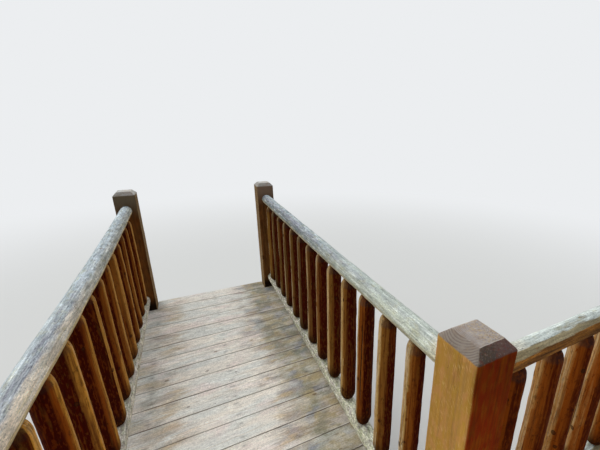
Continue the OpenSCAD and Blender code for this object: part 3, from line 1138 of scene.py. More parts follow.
@dataclass(frozen=True)
class RailFinish:
    """Rails that have silvered where they face the open sky, and keep their old stain below.

    Far is 0 at a rail's near end and 1 at its far end. Facing runs from -1 on its outer side to 1 on its
    walkway side, and sky grows with the open sky that a place sees. Old stain lies below the lower border
    of sky, and cream up to the higher one; on the guard rail the darker lower half is partly painted shade.

    The crown is a lilac band within a span of facing, with a share for each end of the rail. Mottle, ragged,
    blotched and climb make the colours and the borders uneven; on a guard rail climb also raises the old
    stain towards its outer end, partly as painted shadow. Fresh wood shows over a reach beside the post.
    Outer lightens the outer side, shoulder, a band of painted shade, darkens the edge of the walkway side,
    and tail, a painted shadow, darkens the part of a guard rail that is furthest out.
    """

    axis: Axis
    inner: float = 0.0
    open_way: tuple[float, float, float] = (0.0, 0.0, 1.0)
    top_near: Colour = (192, 200, 190)
    top_far: Colour = (165, 175, 181)
    side_near: Colour = (204, 210, 192)
    side_far: Colour = (120, 128, 128)
    lilac: Colour = (132, 130, 146)
    slate: Colour = (84, 84, 96)
    cream: Colour = (190, 182, 150)
    under: Colour = (140, 84, 34)
    dark: Colour = (70, 42, 24)
    lichen: Colour = (112, 132, 126)
    moss: Colour = (186, 178, 122)
    silver: Colour = (238, 242, 238)
    fresh_wood: Colour = (232, 214, 180)
    mould: Colour = (84, 80, 82)
    flaws: Flaws = Flaws((124, 104, 80), (72, 58, 46), (48, 40, 34), 0.6, 0.7)
    fine_crack: Colour = (66, 58, 52)
    mottle_patches: Patches = (
        (Cloud(0.02, 0.05, 71, (0.5, 0.6), rough=0.6), (150, 134, 140)),
        (Cloud(0.018, 0.035, 75, (0.5, 0.6), rough=0.6), (152, 162, 116)),
        (Cloud(0.012, 0.018, 79, (0.5, 0.6), rough=0.6), (242, 240, 226)),
        (Cloud(0.008, 0.012, 83, (0.5, 0.6), rough=0.6), (104, 96, 84)))
    crown: Pair = (0.2, 0.8)
    crown_span: Pair = (0.2, 0.9)
    mottle: float = 0.0
    bleach: float = 0.38
    borders: Pair = (-0.56, -0.2)
    ragged: float = 0.3
    blotched: float = 0.0
    climb: float = 0.0
    fresh: float = 0.6
    fresh_reach: float = 0.08
    outer: float = -0.08
    shoulder: float = 0.0
    tail: float = 0.0
    post_side: float = 0.595
    post_front: float = -0.9135
    broad: Cloud = Cloud(0.03, 0.22, 1)
    band: Cloud = Cloud(0.01, 0.13, 6, detail=4)
    streak: Cloud = Cloud(0.0055, 0.09, 2)
    fine: Cloud = Cloud(0.0013, 0.025, 3)
    thin: Cloud = Cloud(0.003, 0.022, 54)
    grit: Cloud = Cloud(0.0035, 0.0065, 33, None, 2, 0.6)
    patch: Cloud = Cloud(0.022, 0.05, 5, None, 4, 0.65)
    blotch: Cloud = Cloud(0.03, 0.09, 91, rough=0.6)
    speck: Cloud = Cloud(0.012, 0.03, 95, (0.36, 0.64), rough=0.6)
    moss_patch: Cloud = Cloud(0.02, 0.04, 63, (0.52, 0.66), rough=0.6)
    bleached: Cloud = Cloud(0.0045, 0.09, 38, (0.5, 0.62))
    old_stain: Cloud = Cloud(0.008, 0.14, 12, (0.4, 0.68))
    dots: Cloud = Cloud(0.004, 0.008, 20, (0.62, 0.7), 2, 0.5)
    crack_line: Cloud = Cloud(0.012, 0.2, 30, detail=2)
    far_part: Pair = (-0.8, 0.5)
    far_sway: Swings = ((Cloud(0.1, 0.5, 9), 0.5),)
    facing_sway: Swings = ((band, 0.45),)
    swings: Swings = ((Cloud(0.01, 0.13, 6, (0.28, 0.72), 4), 0.32),
                      (Cloud(0.005, 0.05, 26, (0.3, 0.7)), 0.32))
    fine_swings: Swings = ((streak, 0.32), (fine, 0.28), (Cloud(0.0035, 0.0065, 33, (0.3, 0.7), 2, 0.6), 0.4))

    def build(self, name: str) -> bpy.types.Material:
        """Makes the material.

        Args:
            name: the material's name.

        Returns:
            The material.
        """
        g = TimberGraph(name, self.axis)
        far = g.step(g.y + g.sway(self.far_sway), *self.far_part)
        facing = self.inner * g.nx + g.sway(self.facing_sway)
        self.silvered(g, far, facing)
        self.stained(g, far, facing)
        g.light(0.87 + 0.24 * g.step(g.cloud(self.blotch), 0.38, 0.62))
        g.grain(self.swings)
        g.light(1 + 0.4 * far * (g.cloud(self.speck) - 0.5))
        g.grain(self.fine_swings)
        g.lay(0.5 * g.cloud(self.dots), self.mould)
        line = g.cracks(self.crack_line, 0.008)
        g.lay(0.65 * line, self.fine_crack)
        ring = g.lay_knots(self.flaws)
        g.lay_split(self.flaws)
        streak, fine, grit = (g.cloud(form) for form in (self.streak, self.fine, self.grit))
        height = 0.0004 * streak + 0.0002 * fine + 0.0002 * grit - 0.0009 * line - 0.0004 * ring
        return g.finish(0.74 + 0.16 * fine, height, 0.12)

    def silvered(self, g: TimberGraph, far: Socket, facing: Socket) -> None:
        """Lays the silvered wood with its lichen, moss, lilac crown and bleached streaks."""
        side = g.mix(far, self.side_near, self.side_far)
        g.colour = g.mix(g.step(facing, 0.45, 0.75), g.mix(far, self.top_near, self.top_far), side)
        g.lay(g.step(g.cloud(self.patch), 0.5, 0.62) * (0.15 + 0.25 * far), self.lichen)
        g.lay(g.cloud(self.moss_patch) * 0.3, self.moss)
        thin, band, broad = g.cloud(self.thin), g.cloud(self.band), g.cloud(self.broad)
        low, high = self.crown_span
        crown = g.step(facing, low - 0.1, low + 0.12) * g.step(facing, high + 0.12, high - 0.12)
        crown = crown * (self.crown[0] + (self.crown[1] - self.crown[0]) * far)
        crown = crown * g.step(band + 0.5 * (thin - 0.5), 0.36, 0.56) * (0.6 + 0.4 * g.step(broad, 0.35, 0.6))
        g.lay(crown, self.lilac)
        g.lay(crown * g.step(thin, 0.54, 0.64) * 0.65, self.slate)
        g.lay(crown * g.step(g.cloud(self.streak), 0.5, 0.62) * 0.5, self.lichen)
        g.lay(g.cloud(self.bleached) * (1 - 0.7 * crown) * self.bleach, self.silver)
        if self.mottle:
            g.colour = g.patched(g.colour, self.mottle_patches, self.mottle)

    def stained(self, g: TimberGraph, far: Socket, facing: Socket) -> None:
        """Lays the fresh wood beside the post, and the cream and the old stain where less sky is seen."""
        out = g.maths("ABSOLUTE", g.x)
        reach = out - self.post_side if self.axis is Axis.X else g.y - self.post_front
        uneven = g.cloud(self.broad) + g.cloud(self.patch) - 1
        post_end = g.step(reach + 0.6 * self.fresh_reach * uneven, self.fresh_reach, 0.01)
        g.lay(post_end * self.fresh, self.fresh_wood)
        sky = sum(part * share for part, share in zip((g.nx, g.ny, g.nz), self.open_way))
        edge = ((self.streak, self.ragged), (self.broad, self.ragged), (self.blotch, self.blotched))
        # Climb raises the old stain towards a guard rail's outer end, partly as painted shadow.
        sky = sky + g.sway(edge) - self.climb * g.step(out, 0.7, 1.05)
        low, high = self.borders
        g.lay(g.step(sky, high + 0.1, high - 0.1) * 0.85, self.cream)
        # Old stain below the lower border; on the guard rail its darkness is partly painted shade.
        g.lay(g.step(sky, low + 0.09, low - 0.09), g.mix(g.cloud(self.old_stain), self.under, self.dark))
        g.light(1 + self.outer * g.step(facing, 0.15, -0.3) * (1 - far))
        # Painted shade: a darker band where the walkway side turns away from the light.
        if self.shoulder:
            g.light(1 - self.shoulder * g.step(facing, 0.58, 0.74) * g.step(facing, 1.0, 0.9))
        # Painted shadow over the part of a guard rail that is furthest out, more on its lower half.
        if self.tail:
            g.light(1 - self.tail * g.step(out, 0.82, 1.05) * (1 - 0.6 * g.step(sky, high, high + 0.3)))


@dataclass(frozen=True)
class BalusterFinish:
    """Peeled logs with an oil stain, partly bleached to gold where the open sky reaches them, and painted
    light and shade.

    Tone is each log's own random number, and facing grows towards the open sky and the light. Lit and dim are
    the spans of facing in which the colour turns golden and dark: partly bleaching and kept stain, partly
    painted light on the side towards the light and painted shade on the side away from it. The pale silver at
    the highest facing is partly a painted highlight. First adds to the facing of the log by the near post,
    which widens its painted lit band.
    """

    open_way: Pair
    # Lit, dim and the start of the pale limb paint light and shade into the colour, besides bleaching and
    # kept stain.
    lit: Pair = (0.15, 0.55)
    dim: Pair = (-0.05, -0.5)
    silver_from: float = 0.42
    cap: float = 0.6
    first: float = 0.3
    gold: Colour = (188, 150, 84)
    silver: Colour = (200, 182, 146)
    mid: Colour = (146, 80, 22)
    olive: Colour = (130, 94, 40)
    # Painted shade: the near-black red of the side away from the light, partly kept stain.
    shade: Colour = (70, 14, 2)
    far_gold: Colour = (176, 152, 112)
    far_mid: Colour = (98, 74, 38)
    # The shoulders' colours away from and towards the light: the darker one is partly painted shade.
    bare: tuple[Colour, Colour] = ((62, 48, 44), (134, 120, 96))
    damp: Colour = (40, 21, 11)
    dark: Colour = (40, 22, 12)
    fine_crack: Colour = (50, 26, 12)
    flaws: Flaws = Flaws((70, 38, 20), (36, 22, 14), (24, 14, 9), 0.75, 0.8)
    far_part: Pair = (-0.6, 0.6)
    first_part: tuple[Pair, Pair] = ((-0.6, -0.7), (-0.85, -0.82))
    upper_part: Pair = (0.7, 1.1)
    broad: Cloud = Cloud(0.03, 0.24, 1)
    band: Cloud = Cloud(0.01, 0.3, 5)
    flame: Cloud = Cloud(0.007, 0.22, 11)
    streak: Cloud = Cloud(0.0045, 0.13, 2)
    fine: Cloud = Cloud(0.0014, 0.045, 3)
    olive_patch: Cloud = Cloud(0.014, 0.16, 15, (0.58, 0.7))
    worn_patch: Cloud = Cloud(0.007, 0.024, 35, (0.5, 0.62), rough=0.6)
    mildew: Cloud = Cloud(0.01, 0.026, 24, (0.55, 0.67), 4, 0.7)
    dots: Cloud = Cloud(0.004, 0.007, 20, (0.66, 0.74), 2, 0.5)
    crack_line: Cloud = Cloud(0.01, 0.16, 30, detail=2)
    facing_sway: Swings = ((band, 0.55), (broad, 0.5))
    end_sway: Swings = ((Cloud(0.01, 0.03, 17), 0.016),)

    def build(self, name: str) -> bpy.types.Material:
        """Makes the material.

        Args:
            name: the material's name.

        Returns:
            The material.
        """
        g = TimberGraph(name, Axis.Z)
        tone = g.value("tone")
        # Facing runs towards the light, so it picks the painted lit and shaded colours.
        facing = g.nx * self.open_way[0] + g.ny * self.open_way[1]
        facing = facing + g.sway(self.facing_sway) + 0.3 * (tone - 0.5)
        start, end = self.first_part
        # Painted light: the log by the near post gets a wider lit band.
        facing = facing + self.first * g.step(g.y, *start) * g.step(g.y, *end)
        middle = self.stain(g, tone, facing)
        streak, fine = g.cloud(self.streak), g.cloud(self.fine)
        g.light(0.62 + 0.44 * streak + 0.4 * tone)
        g.grain(((self.fine, 0.32),))
        self.ends(g, facing)
        g.lay(g.cloud(self.worn_patch) * 0.35, middle)
        g.lay(g.cloud(self.mildew) * 0.5, self.dark)
        g.lay(0.6 * g.cloud(self.dots), self.dark)
        line = g.cracks(self.crack_line, 0.007)
        g.lay(0.5 * line, self.fine_crack)
        ring = g.lay_knots(self.flaws)
        g.lay_split(self.flaws)
        height = 0.0003 * streak + 0.00018 * fine - 0.0008 * line - 0.0004 * ring
        return g.finish(0.6 + 0.25 * fine, height, 0.04)

    def stain(self, g: TimberGraph, tone: Socket, facing: Socket) -> Socket:
        """Lays the stain, golden where it faces the sky and dark away from it, partly kept stain and partly
        painted light and shade. Returns its middle colour.
        """
        far = g.step(g.y, *self.far_part)
        # Pale silver on the limb towards the light: partly weathering, partly a painted highlight.
        silvered = g.step(facing, self.silver_from, self.silver_from + 0.3)
        silvered = silvered * g.step(g.cloud(self.streak), 0.4, 0.6)
        lit = g.mix(silvered, g.mix(far, self.gold, self.far_gold), self.silver)
        middle = g.mix(g.step(tone, 0.45, 0.9), g.mix(far, self.mid, self.far_mid), self.olive)
        g.colour = g.mix(g.step(facing, *self.lit), middle, lit)
        # Painted shade on the side away from the light.
        g.lay(g.step(facing, *self.dim), self.shade)
        flame = g.cloud(self.flame)
        g.lay(g.step(flame, 0.5, 0.62) * 0.5, self.shade)
        g.lay(g.step(flame, 0.44, 0.34) * 0.4, self.mid)
        g.lay(g.cloud(self.olive_patch) * 0.3, self.olive)
        return middle

    def ends(self, g: TimberGraph, facing: Socket) -> None:
        """Lays bare grey wood on the upper shoulders under the top rail, partly painted shade that is darker
        on the side away from the light, and darkens the lower ends.
        """
        ends = g.value("ends") + g.sway(self.end_sway)
        high = g.step(g.z, *self.upper_part)
        bright = g.step(facing, -0.2, 0.5)
        # Bare wood and painted shade under the top rail, darker on the side away from the light.
        g.lay(g.step(ends, 0.044, 0.03) * high * (self.cap - 0.25 * bright), g.mix(bright, *self.bare))
        g.lay(g.step(ends, 0.11, 0.012) * (1 - high) * 0.85, self.damp)


@dataclass(frozen=True)
class PostFinish:
    """Sawn square posts, with stain on the faces and bare grey end grain on the bevelled top.

    Sun is 0 on the shaded face and 1 on the others. The shaded face's darker, redder colours are partly stain
    kept from the weather and partly painted shade, and warm and mellow are patches with a colour for each.
    Weathered is the grey that the shaded face turns to at its upper end, by a share of weathering. The end
    grain has a worn rim, half the top's width from its middle, and its bevel on the shaded side is plum and
    darker, as painted shade. Top is the height where the bevel starts.
    """

    sun: Colour = (188, 140, 64)
    gold: Colour = (176, 134, 72)
    shade: Colour = (148, 56, 8)
    streaks: Colour = (96, 44, 10)
    warm: tuple[Colour, Colour] = ((136, 30, 8), (198, 142, 88))
    mellow: tuple[Colour, Colour] = ((152, 82, 12), (182, 142, 56))
    end: Colour = (166, 158, 153)
    end_ring: Colour = (104, 90, 82)
    end_patches: Patches = (
        (Cloud(0.007, 0.007, 16, (0.44, 0.58), rough=0.7), (192, 166, 120)),
        (Cloud(0.006, 0.006, 18, (0.52, 0.62), rough=0.7), (106, 92, 86)),
        (Cloud(0.005, 0.005, 22, (0.58, 0.66), rough=0.7), (214, 206, 196)))
    end_blot: Colour = (150, 128, 112)
    west_bevel: Colour = (112, 98, 78)
    worn_rim: Colour = (218, 208, 196)
    plum: tuple[Colour, Colour] = ((72, 58, 48), (100, 70, 66))
    plum_patches: Patches = ((Cloud(0.009, 0.009, 23, (0.52, 0.62), rough=0.7), (122, 50, 36)),
                             (Cloud(0.004, 0.007, 29, (0.56, 0.66), rough=0.7), (160, 136, 124)))
    shaded_bevel: float = 0.85
    scuffed: Colour = (226, 190, 124)
    damp: Colour = (50, 34, 22)
    weathered: Colour = (150, 126, 106)
    weathering: float = 0.0
    flaws: Flaws = Flaws((86, 48, 24), (48, 28, 16), (26, 16, 10), 0.7, 0.75)
    pith: Pair = (0.02, 0.03)
    top: float = 1.47
    top_half: float = 0.045
    floor_line: float = 0.48
    foot: float = 0.0
    broad: Cloud = Cloud(0.04, 0.5, 1)
    band: Cloud = Cloud(0.016, 0.7, 5)
    streak: Cloud = Cloud(0.005, 0.35, 2)
    fine: Cloud = Cloud(0.0012, 0.05, 3)
    ring_warp: Cloud = Cloud(0.05, 0.6, 6)
    warm_patch: Cloud = Cloud(0.024, 0.06, 51, (0.46, 0.62), rough=0.6)
    mellow_patch: Cloud = Cloud(0.018, 0.05, 57, (0.48, 0.62), rough=0.6)
    dark_streak: Cloud = Cloud(0.012, 0.12, 19, (0.56, 0.66))
    scuff_places: Cloud = Cloud(0.05, 0.08, 44, (0.36, 0.52), 2)
    blotch: Cloud = Cloud(0.02, 0.02, 11, None, 4, 0.6)
    ring_places: Cloud = Cloud(0.035, 0.035, 14, (0.34, 0.54), rough=0.6)
    rim_sway: Swings = ((Cloud(0.03, 0.05, 8), 0.006),)
    crack_line: Cloud = Cloud(0.012, 0.3, 30, detail=2)

    def build(self, name: str, centre: Pair) -> bpy.types.Material:
        """Makes the material.

        Args:
            name: the material's name.
            centre: the post's axis.

        Returns:
            The material.
        """
        g = TimberGraph(name, Axis.Z)
        # Sun picks the lit and the shaded colours; the shaded face's are partly painted shade.
        sun = g.step(g.ny + 0.25 * (g.cloud(self.broad) - 0.5), -0.85, -0.35)
        heart = g.vector(g.x - centre[0] - self.pith[0], g.y - centre[1] - self.pith[1], 0)
        late = g.rings(heart, 185, 2.2 * g.cloud(self.ring_warp))
        self.stain(g, sun, late)
        self.weather(g, sun, centre)
        ring = g.lay_knots(self.flaws)
        self.scuffs(g, sun)
        rim = g.z + g.sway(self.rim_sway) - self.top
        g.lay(g.step(rim, -0.004, 0.0015), self.end_grain(g, heart, centre))
        self.foot_damp(g, sun)
        line = g.cracks(self.crack_line, 0.005)
        g.lay((0.45 - 0.25 * sun) * line, self.damp)
        g.lay_split(self.flaws)
        streak, fine = g.cloud(self.streak), g.cloud(self.fine)
        height = 0.00022 * streak + 0.00016 * fine - 0.00025 * late - 0.0006 * line - 0.0004 * ring
        return g.finish(0.66 + 0.22 * fine, height, 0.04)

    def stain(self, g: TimberGraph, sun: Socket, late: Socket) -> None:
        """Lays the stain, redder and more streaked on the shaded face, where its darker colours are partly
        painted shade.
        """
        band, streak = g.cloud(self.band), g.cloud(self.streak)
        g.colour = g.mix(sun, self.shade, g.mix(g.step(band, 0.35, 0.65), self.sun, self.gold))
        g.lay(g.cloud(self.warm_patch) * 0.55, g.mix(sun, *self.warm))
        g.lay(g.cloud(self.mellow_patch) * 0.5, g.mix(sun, *self.mellow))
        g.lay(g.step(band, 0.42, 0.7) * (0.5 - 0.45 * sun), self.streaks)
        g.lay(g.step(streak, 0.46, 0.72) * (0.3 - 0.26 * sun), self.streaks)
        g.lay(g.cloud(self.dark_streak) * (0.5 - 0.42 * sun), self.streaks)
        g.lay(0.03 * late, self.streaks)

    def weather(self, g: TimberGraph, sun: Socket, centre: Pair) -> None:
        """Lightens the lower part of each face, and greys the upper end of the shaded one."""
        lower = g.step(g.z, self.top - 0.02, self.top - 0.26)
        edge = g.step(g.y, centre[1] - 0.02, centre[1] - 0.064)
        g.light(1 + lower * (sun * (0.05 + 0.22 * edge) + 0.38 * (1 - sun)))
        dull = g.step(g.z + 0.05 * (g.cloud(self.band) - 0.5), self.top - 0.2, self.top - 0.03) * (1 - sun)
        g.lay(dull * self.weathering, self.weathered)
        g.grain(((self.broad, 0.28), (self.fine, 0.2)))

    def scuffs(self, g: TimberGraph, sun: Socket) -> None:
        """Lays pale slanting scuffs on the faces in the light."""
        slant = g.vector((g.y - 0.6 * g.z) / 0.0025, (0.6 * g.y + g.z) / 0.03, g.x / 0.0025)
        scuff = g.step(g.noise(slant, 2), 0.56, 0.68) * g.cloud(self.scuff_places) * sun
        g.lay(0.6 * scuff, self.scuffed)

    def end_grain(self, g: TimberGraph, heart: Socket, centre: Pair) -> Socket:
        """Returns the end grain of the top and its bevels, with rings about the heart and painted shade on
        the bevel of the shaded side.
        """
        blotch = g.cloud(self.blotch)
        shaded = g.step(g.ny, -0.35, -0.55)
        west = g.step(g.nx, -0.3, -0.5)
        westward = g.step(g.x, centre[0] + 0.005, centre[0] - 0.035)
        plain = 1 - 0.75 * westward * (1 - shaded)
        end = g.mix(g.step(blotch, 0.45, 0.7) * 0.5, self.end, self.end_blot)
        end = g.patched(end, self.end_patches, 0.45 * plain)
        plum = g.mix(g.step(g.x + 0.04 * (blotch - 0.5), centre[0] - 0.025, centre[0] + 0.02), *self.plum)
        # Painted shade: the bevel on the shaded side is laid in dark plum.
        end = g.mix(shaded * self.shaded_bevel, end, g.patched(plum, self.plum_patches, 0.5))
        border = g.step(g.x, centre[0] - 0.02, centre[0] - 0.055)
        end = g.mix((0.25 * west + 0.25 * border) * (1 - shaded), end, self.west_bevel)
        seen = g.cloud(self.ring_places) * (0.35 + 0.65 * westward) * (1 - shaded)
        grain = g.rings(heart, 190, 1.2 * g.cloud(self.ring_warp))
        end = g.mix(seen * grain * 0.6, end, self.end_ring)
        reach = g.maths("MAXIMUM", g.x - centre[0], g.maths("ABSOLUTE", g.y - centre[1]))
        rim = g.maths("ABSOLUTE", reach - self.top_half) + 0.003 * (blotch - 0.5)
        return g.mix(g.step(rim, 0.0026, 0.0008) * g.step(g.nz, 0.85, 0.95) * 0.45, end, self.worn_rim)

    def foot_damp(self, g: TimberGraph, sun: Socket) -> None:
        """Lays damp round the post at the floor line on its shaded face, partly painted shade where the deck
        meets it, and darkens it near the ground.
        """
        level = g.z - self.floor_line + 0.03 * (g.cloud(self.broad) - 0.5)
        # Painted shade, partly damp, where the deck meets the shaded face.
        collar = g.step(level, 0.13, 0.04) * g.step(level, -0.3, -0.06) * (1 - 0.85 * sun)
        ground = g.step(g.z + 0.04 * (g.cloud(self.band) - 0.5), 0.12, 0.01)
        g.lay(g.clamp((collar + 0.5 * ground) * self.foot), self.damp)


@dataclass(frozen=True)
class FrameFinish:
    """Sawn softwood of the hidden frame, treated and dull, with the marks of a band saw."""

    light: Colour = (168, 146, 104)
    dark: Colour = (118, 98, 66)
    grey: Colour = (138, 130, 116)
    crack: Colour = (60, 46, 32)
    broad: Cloud = Cloud(0.05, 0.5, 1)
    streak: Cloud = Cloud(0.008, 0.3, 2)
    fine: Cloud = Cloud(0.0014, 0.05, 3)
    figure: Cloud = Cloud(0.06, 1.4, 4, detail=1)
    rings: float = 16.0
    specks: Cloud = Cloud(0.02, 0.05, 14, (0.62, 0.7), rough=0.6)
    crack_line: Cloud = Cloud(0.015, 0.3, 30, detail=2)
    saw_teeth: float = 1400.0

    def build(self, name: str, axis: Axis) -> bpy.types.Material:
        """Makes the material.

        Args:
            name: the material's name.
            axis: the way the timber runs.

        Returns:
            The material.
        """
        g = TimberGraph(name, axis)
        streak, fine = g.cloud(self.streak), g.cloud(self.fine)
        late = g.late_wood(g.cloud(self.figure) * self.rings, 0.4, 0.9)
        g.colour = g.mix(g.cloud(self.broad), self.light, self.grey)
        g.lay(0.5 * late, self.dark)
        g.grain(((self.streak, 0.4), (self.fine, 0.2)))
        line = g.cracks(self.crack_line, 0.006)
        g.lay(0.6 * line, self.crack)
        g.lay(0.35 * g.cloud(self.specks), self.dark)
        saw = g.maths("SINE", (g.x + g.y + 0.15 * g.z) * self.saw_teeth) * 0.5 + 0.5
        height = 0.0002 * streak + 0.0001 * fine + 0.00008 * saw - 0.0006 * line
        return g.finish(0.75 + 0.15 * fine, height, 0.2)


@dataclass(frozen=True)
class SteelFinish:
    """Galvanised steel with spangle, a little white rust and dull patches."""

    zinc: Colour = (170, 173, 176)
    dull: Colour = (128, 131, 134)
    rust: Colour = (104, 78, 58)
    spangle: float = 0.009
    cloudy: Cloud = Cloud(0.02, 0.02, 4, None, 4, 0.6)

    def build(self, name: str, wear: float) -> bpy.types.Material:
        """Makes the material.

        Args:
            name: the material's name.
            wear: how much of it has rusted, from 0 to 1.

        Returns:
            The material.
        """
        g = TimberGraph(name, Axis.X)
        crystal = g.node("ShaderNodeTexVoronoi", {"voronoi_dimensions": "3D", "feature": "F1"},
                         {"Vector": g.scaled(self.spangle, self.spangle), "Scale": 1.0})
        spangle, _, _ = g.parts(g.out(crystal, "Color"))
        cloud = g.cloud(self.cloudy)
        g.colour = g.mix(0.6 * spangle + 0.4 * g.step(cloud, 0.4, 0.7), self.zinc, self.dull)
        g.lay(g.step(cloud + 0.3 * wear, 0.62, 0.75) * (0.25 + 0.6 * wear), self.rust)
        return g.finish(0.38 + 0.3 * cloud, 0.0001 * cloud, 0.5, 0.75)


class Maker:
    """Turns shells into finished pieces of the object."""

    def piece(self, name: str, shell: Shell, material: bpy.types.Material,
              nodes: Iterable[str] = (), crease: float = 38.0) -> None:
        """Adds a piece to the scene.

        Args:
            name: the piece's name.
            shell: its surface.
            material: its material.
            nodes: the CAD nodes that it stands for.
            crease: the angle in degrees past which an edge stays sharp.
        """
        mesh = shell.mesh(name, crease)
        mesh.materials.append(material)
        obj = bpy.data.objects.new(name, mesh)
        bpy.context.scene.collection.objects.link(obj)
        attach(obj, "root")
        if nodes:
            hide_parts(*nodes)
        LOG.info("%s: %d triangles", name, 2 * len(shell.quads) + len(shell.tris))

    def dress(self, node: str, material: bpy.types.Material) -> None:
        """Gives a CAD node that stays in view a better material."""
        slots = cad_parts[node].data.materials
        slots.clear()
        slots.append(material)


def seat_of(node: str) -> tuple[Array, Array]:
    """Returns the lowest and highest corners of a CAD node."""
    low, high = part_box(node)
    return np.array(low), np.array(high)


@dataclass
class Deck:
    """The boards and their screws."""

    pitch: float = 0.143
    gap: float = 0.003
    ease: float = 0.003
    width_slack: float = 0.0011
    screw_inset: float = 0.028
    screw_room: float = 0.012
    screw_depth: float = 0.0008
    joists_walk: tuple[float, ...] = (-0.436, 0.0, 0.436)
    joists_landing: tuple[float, ...] = (0.436, 0.83975, 1.2435, 1.64725, 2.051)
    landing_rows: int = 5
    landing_step: float = 0.022
    head: Turned = Turned(((0.0016, -0.0012), (0.0026, -0.0002), (0.0042, 0.0), (0.0046, -0.0014)), 10)

    def board_names(self) -> list[str]:
        """Returns the nodes of the walkway's boards, the far one last."""
        return [*(f"deck_board_{n:02d}" for n in range(16, 0, -1)), "end_board"]

    def screws(self, edges: Pair, joists: Sequence[float]) -> Array:
        """Lists the screws of a board, two to a joist and a little uneven.

        Args:
            edges: the board's low and high edges.
            joists: the places of the joists under it.

        Returns:
            Rows of (x, y).
        """
        rng = np.random.default_rng(round(abs(edges[0]) * 1000) + 5)
        x = np.repeat(np.array(joists), 2) + rng.uniform(-0.004, 0.004, 2 * len(joists))
        y = np.tile([edges[0] + self.screw_inset, edges[1] - self.screw_inset], len(joists))
        return np.stack([x, y + rng.uniform(-0.005, 0.005, len(y))], -1)

    def seats(self, screws: Array, top: float) -> Array:
        """Returns the seats of the screws' heads, a little below a board's top."""
        return np.column_stack([screws, np.full(len(screws), top - self.screw_depth)])

    def build(self, maker: Maker) -> None:
        """Builds the walkway's boards, the landing's boards and all their screws."""
        wood = DeckFinish(self.pitch, float(seat_of("end_board")[0][1])).build()
        heads = []
        for number, node in enumerate(self.board_names()):
            low, high = seat_of(node)
            rng = np.random.default_rng(900 + number)
            slack = rng.uniform(-0.2, 1, 2) * self.width_slack * (-1, 1)
            jut = rng.uniform(-0.002, 0.0015, 2) if node != "end_board" else np.zeros(2)
            screws = self.screws((low[1], high[1]), self.joists_walk)
            ends, edges = (low[0] - jut[0], high[0] + jut[1]), (low[1] + slack[0], high[1] + slack[1])
            board = Board(ends, edges, high[2], high[2] - low[2], self.ease, 40 + number, screws,
                          knots=int(rng.integers(0, 3)))
            maker.piece(f"plank_{number + 1:02d}", board.shell(), wood, [node])
            heads.append(self.seats(screws, high[2]))
        heads.append(self.landing(maker, wood))
        steel = SteelFinish().build("screw_steel", 0.7)
        maker.piece("deck_screws", self.head.shells(np.concatenate(heads), Axis.Z), steel)

    def landing(self, maker: Maker, wood: bpy.types.Material) -> Array:
        """Builds the landing's boards, two of them notched round the posts.

        Args:
            maker: the maker of pieces.
            wood: the boards' material.

        Returns:
            The seats of the screws' heads.
        """
        low, high = seat_of("landing_boards")
        posts = [seat_of(f"{stem}_{side.tag}") for stem in ("near_post", "guard_post") for side in Side]
        joists = [0.0] + [sign * x for x in self.joists_landing for sign in (-1, 1)]
        shells, heads = [], []
        for number in range(self.landing_rows):
            near = low[1] + number * self.pitch
            edges = (near, near + self.pitch - self.gap)
            screws = self.screws(edges, joists)
            notches = []
            for a, b in posts:
                cuts = [y for y in (a[1] - self.gap, b[1] + self.gap) if edges[0] < y < edges[1]]
                notches += [(a[0] - self.gap, b[0] + self.gap, y) for y in cuts[:1]]
                blocked = (screws > a[:2] - self.screw_room) & (screws < b[:2] + self.screw_room)
                screws = screws[~blocked.all(1)]
            board = Board((low[0], high[0]), edges, high[2], high[2] - low[2], self.ease, 70 + number, screws,
                          notches, self.landing_step, knots=8)
            shells.append(board.shell())
            heads.append(self.seats(screws, high[2]))
        maker.piece("landing_planks", Shell.joined(shells), wood, ["landing_boards"])
        return np.concatenate(heads)


@dataclass
class Posts:
    """The six square posts."""

    bevel: Pair = (0.025, 0.027)
    arris: float = 0.004

    def build(self, maker: Maker) -> None:
        """Builds each post with the cracks of its faces and the place of its pith."""
        stained = PostFinish()
        # The shade colours of the shaded faces are partly painted shade, darker still on the left post.
        dark = PostFinish(
            sun=(140, 114, 82), gold=(122, 102, 76), shade=(106, 68, 34), streaks=(52, 32, 14),
            warm=((74, 46, 22), (118, 84, 54)), mellow=((90, 62, 30), (108, 86, 48)), end=(206, 208, 206),
            end_ring=(158, 156, 152), shaded_bevel=0.3, foot=0.95, damp=(24, 17, 10), weathering=0.8)
        dark_left = replace(dark, shade=(100, 60, 26), weathered=(124, 112, 92))
        plans = {
            "near_post_right": (stained, (0, 0.005, 0, 0), (0.016, 0.016)),
            "near_post_left": (stained, (0, 0.005, 0, 0), (-0.02, 0.015)),
            "guard_post_right": (stained, (0, 0.004, 0.004, 0), (0.03, 0.03)),
            "guard_post_left": (stained, (0.004, 0, 0, 0), (-0.03, 0.02)),
            "far_post_right": (dark, (0.004, 0.005, 0, 0), (0.02, -0.02)),
            "far_post_left": (dark_left, (0, 0.005, 0.004, 0), (-0.02, 0.01)),
        }
        for number, (node, (finish, cracks, pith)) in enumerate(plans.items()):
            low, high = seat_of(node)
            centre = ((low[0] + high[0]) / 2, (low[1] + high[1]) / 2)
            half = (high[0] - low[0]) / 2
            post = SquarePost(centre, half, high[2], self.bevel, self.arris, 300 + number, cracks)
            own = replace(finish, pith=pith, top=high[2] - self.bevel[1])
            maker.piece(f"{node}_timber", post.shell(), own.build(f"{node}_wood", centre), [node])


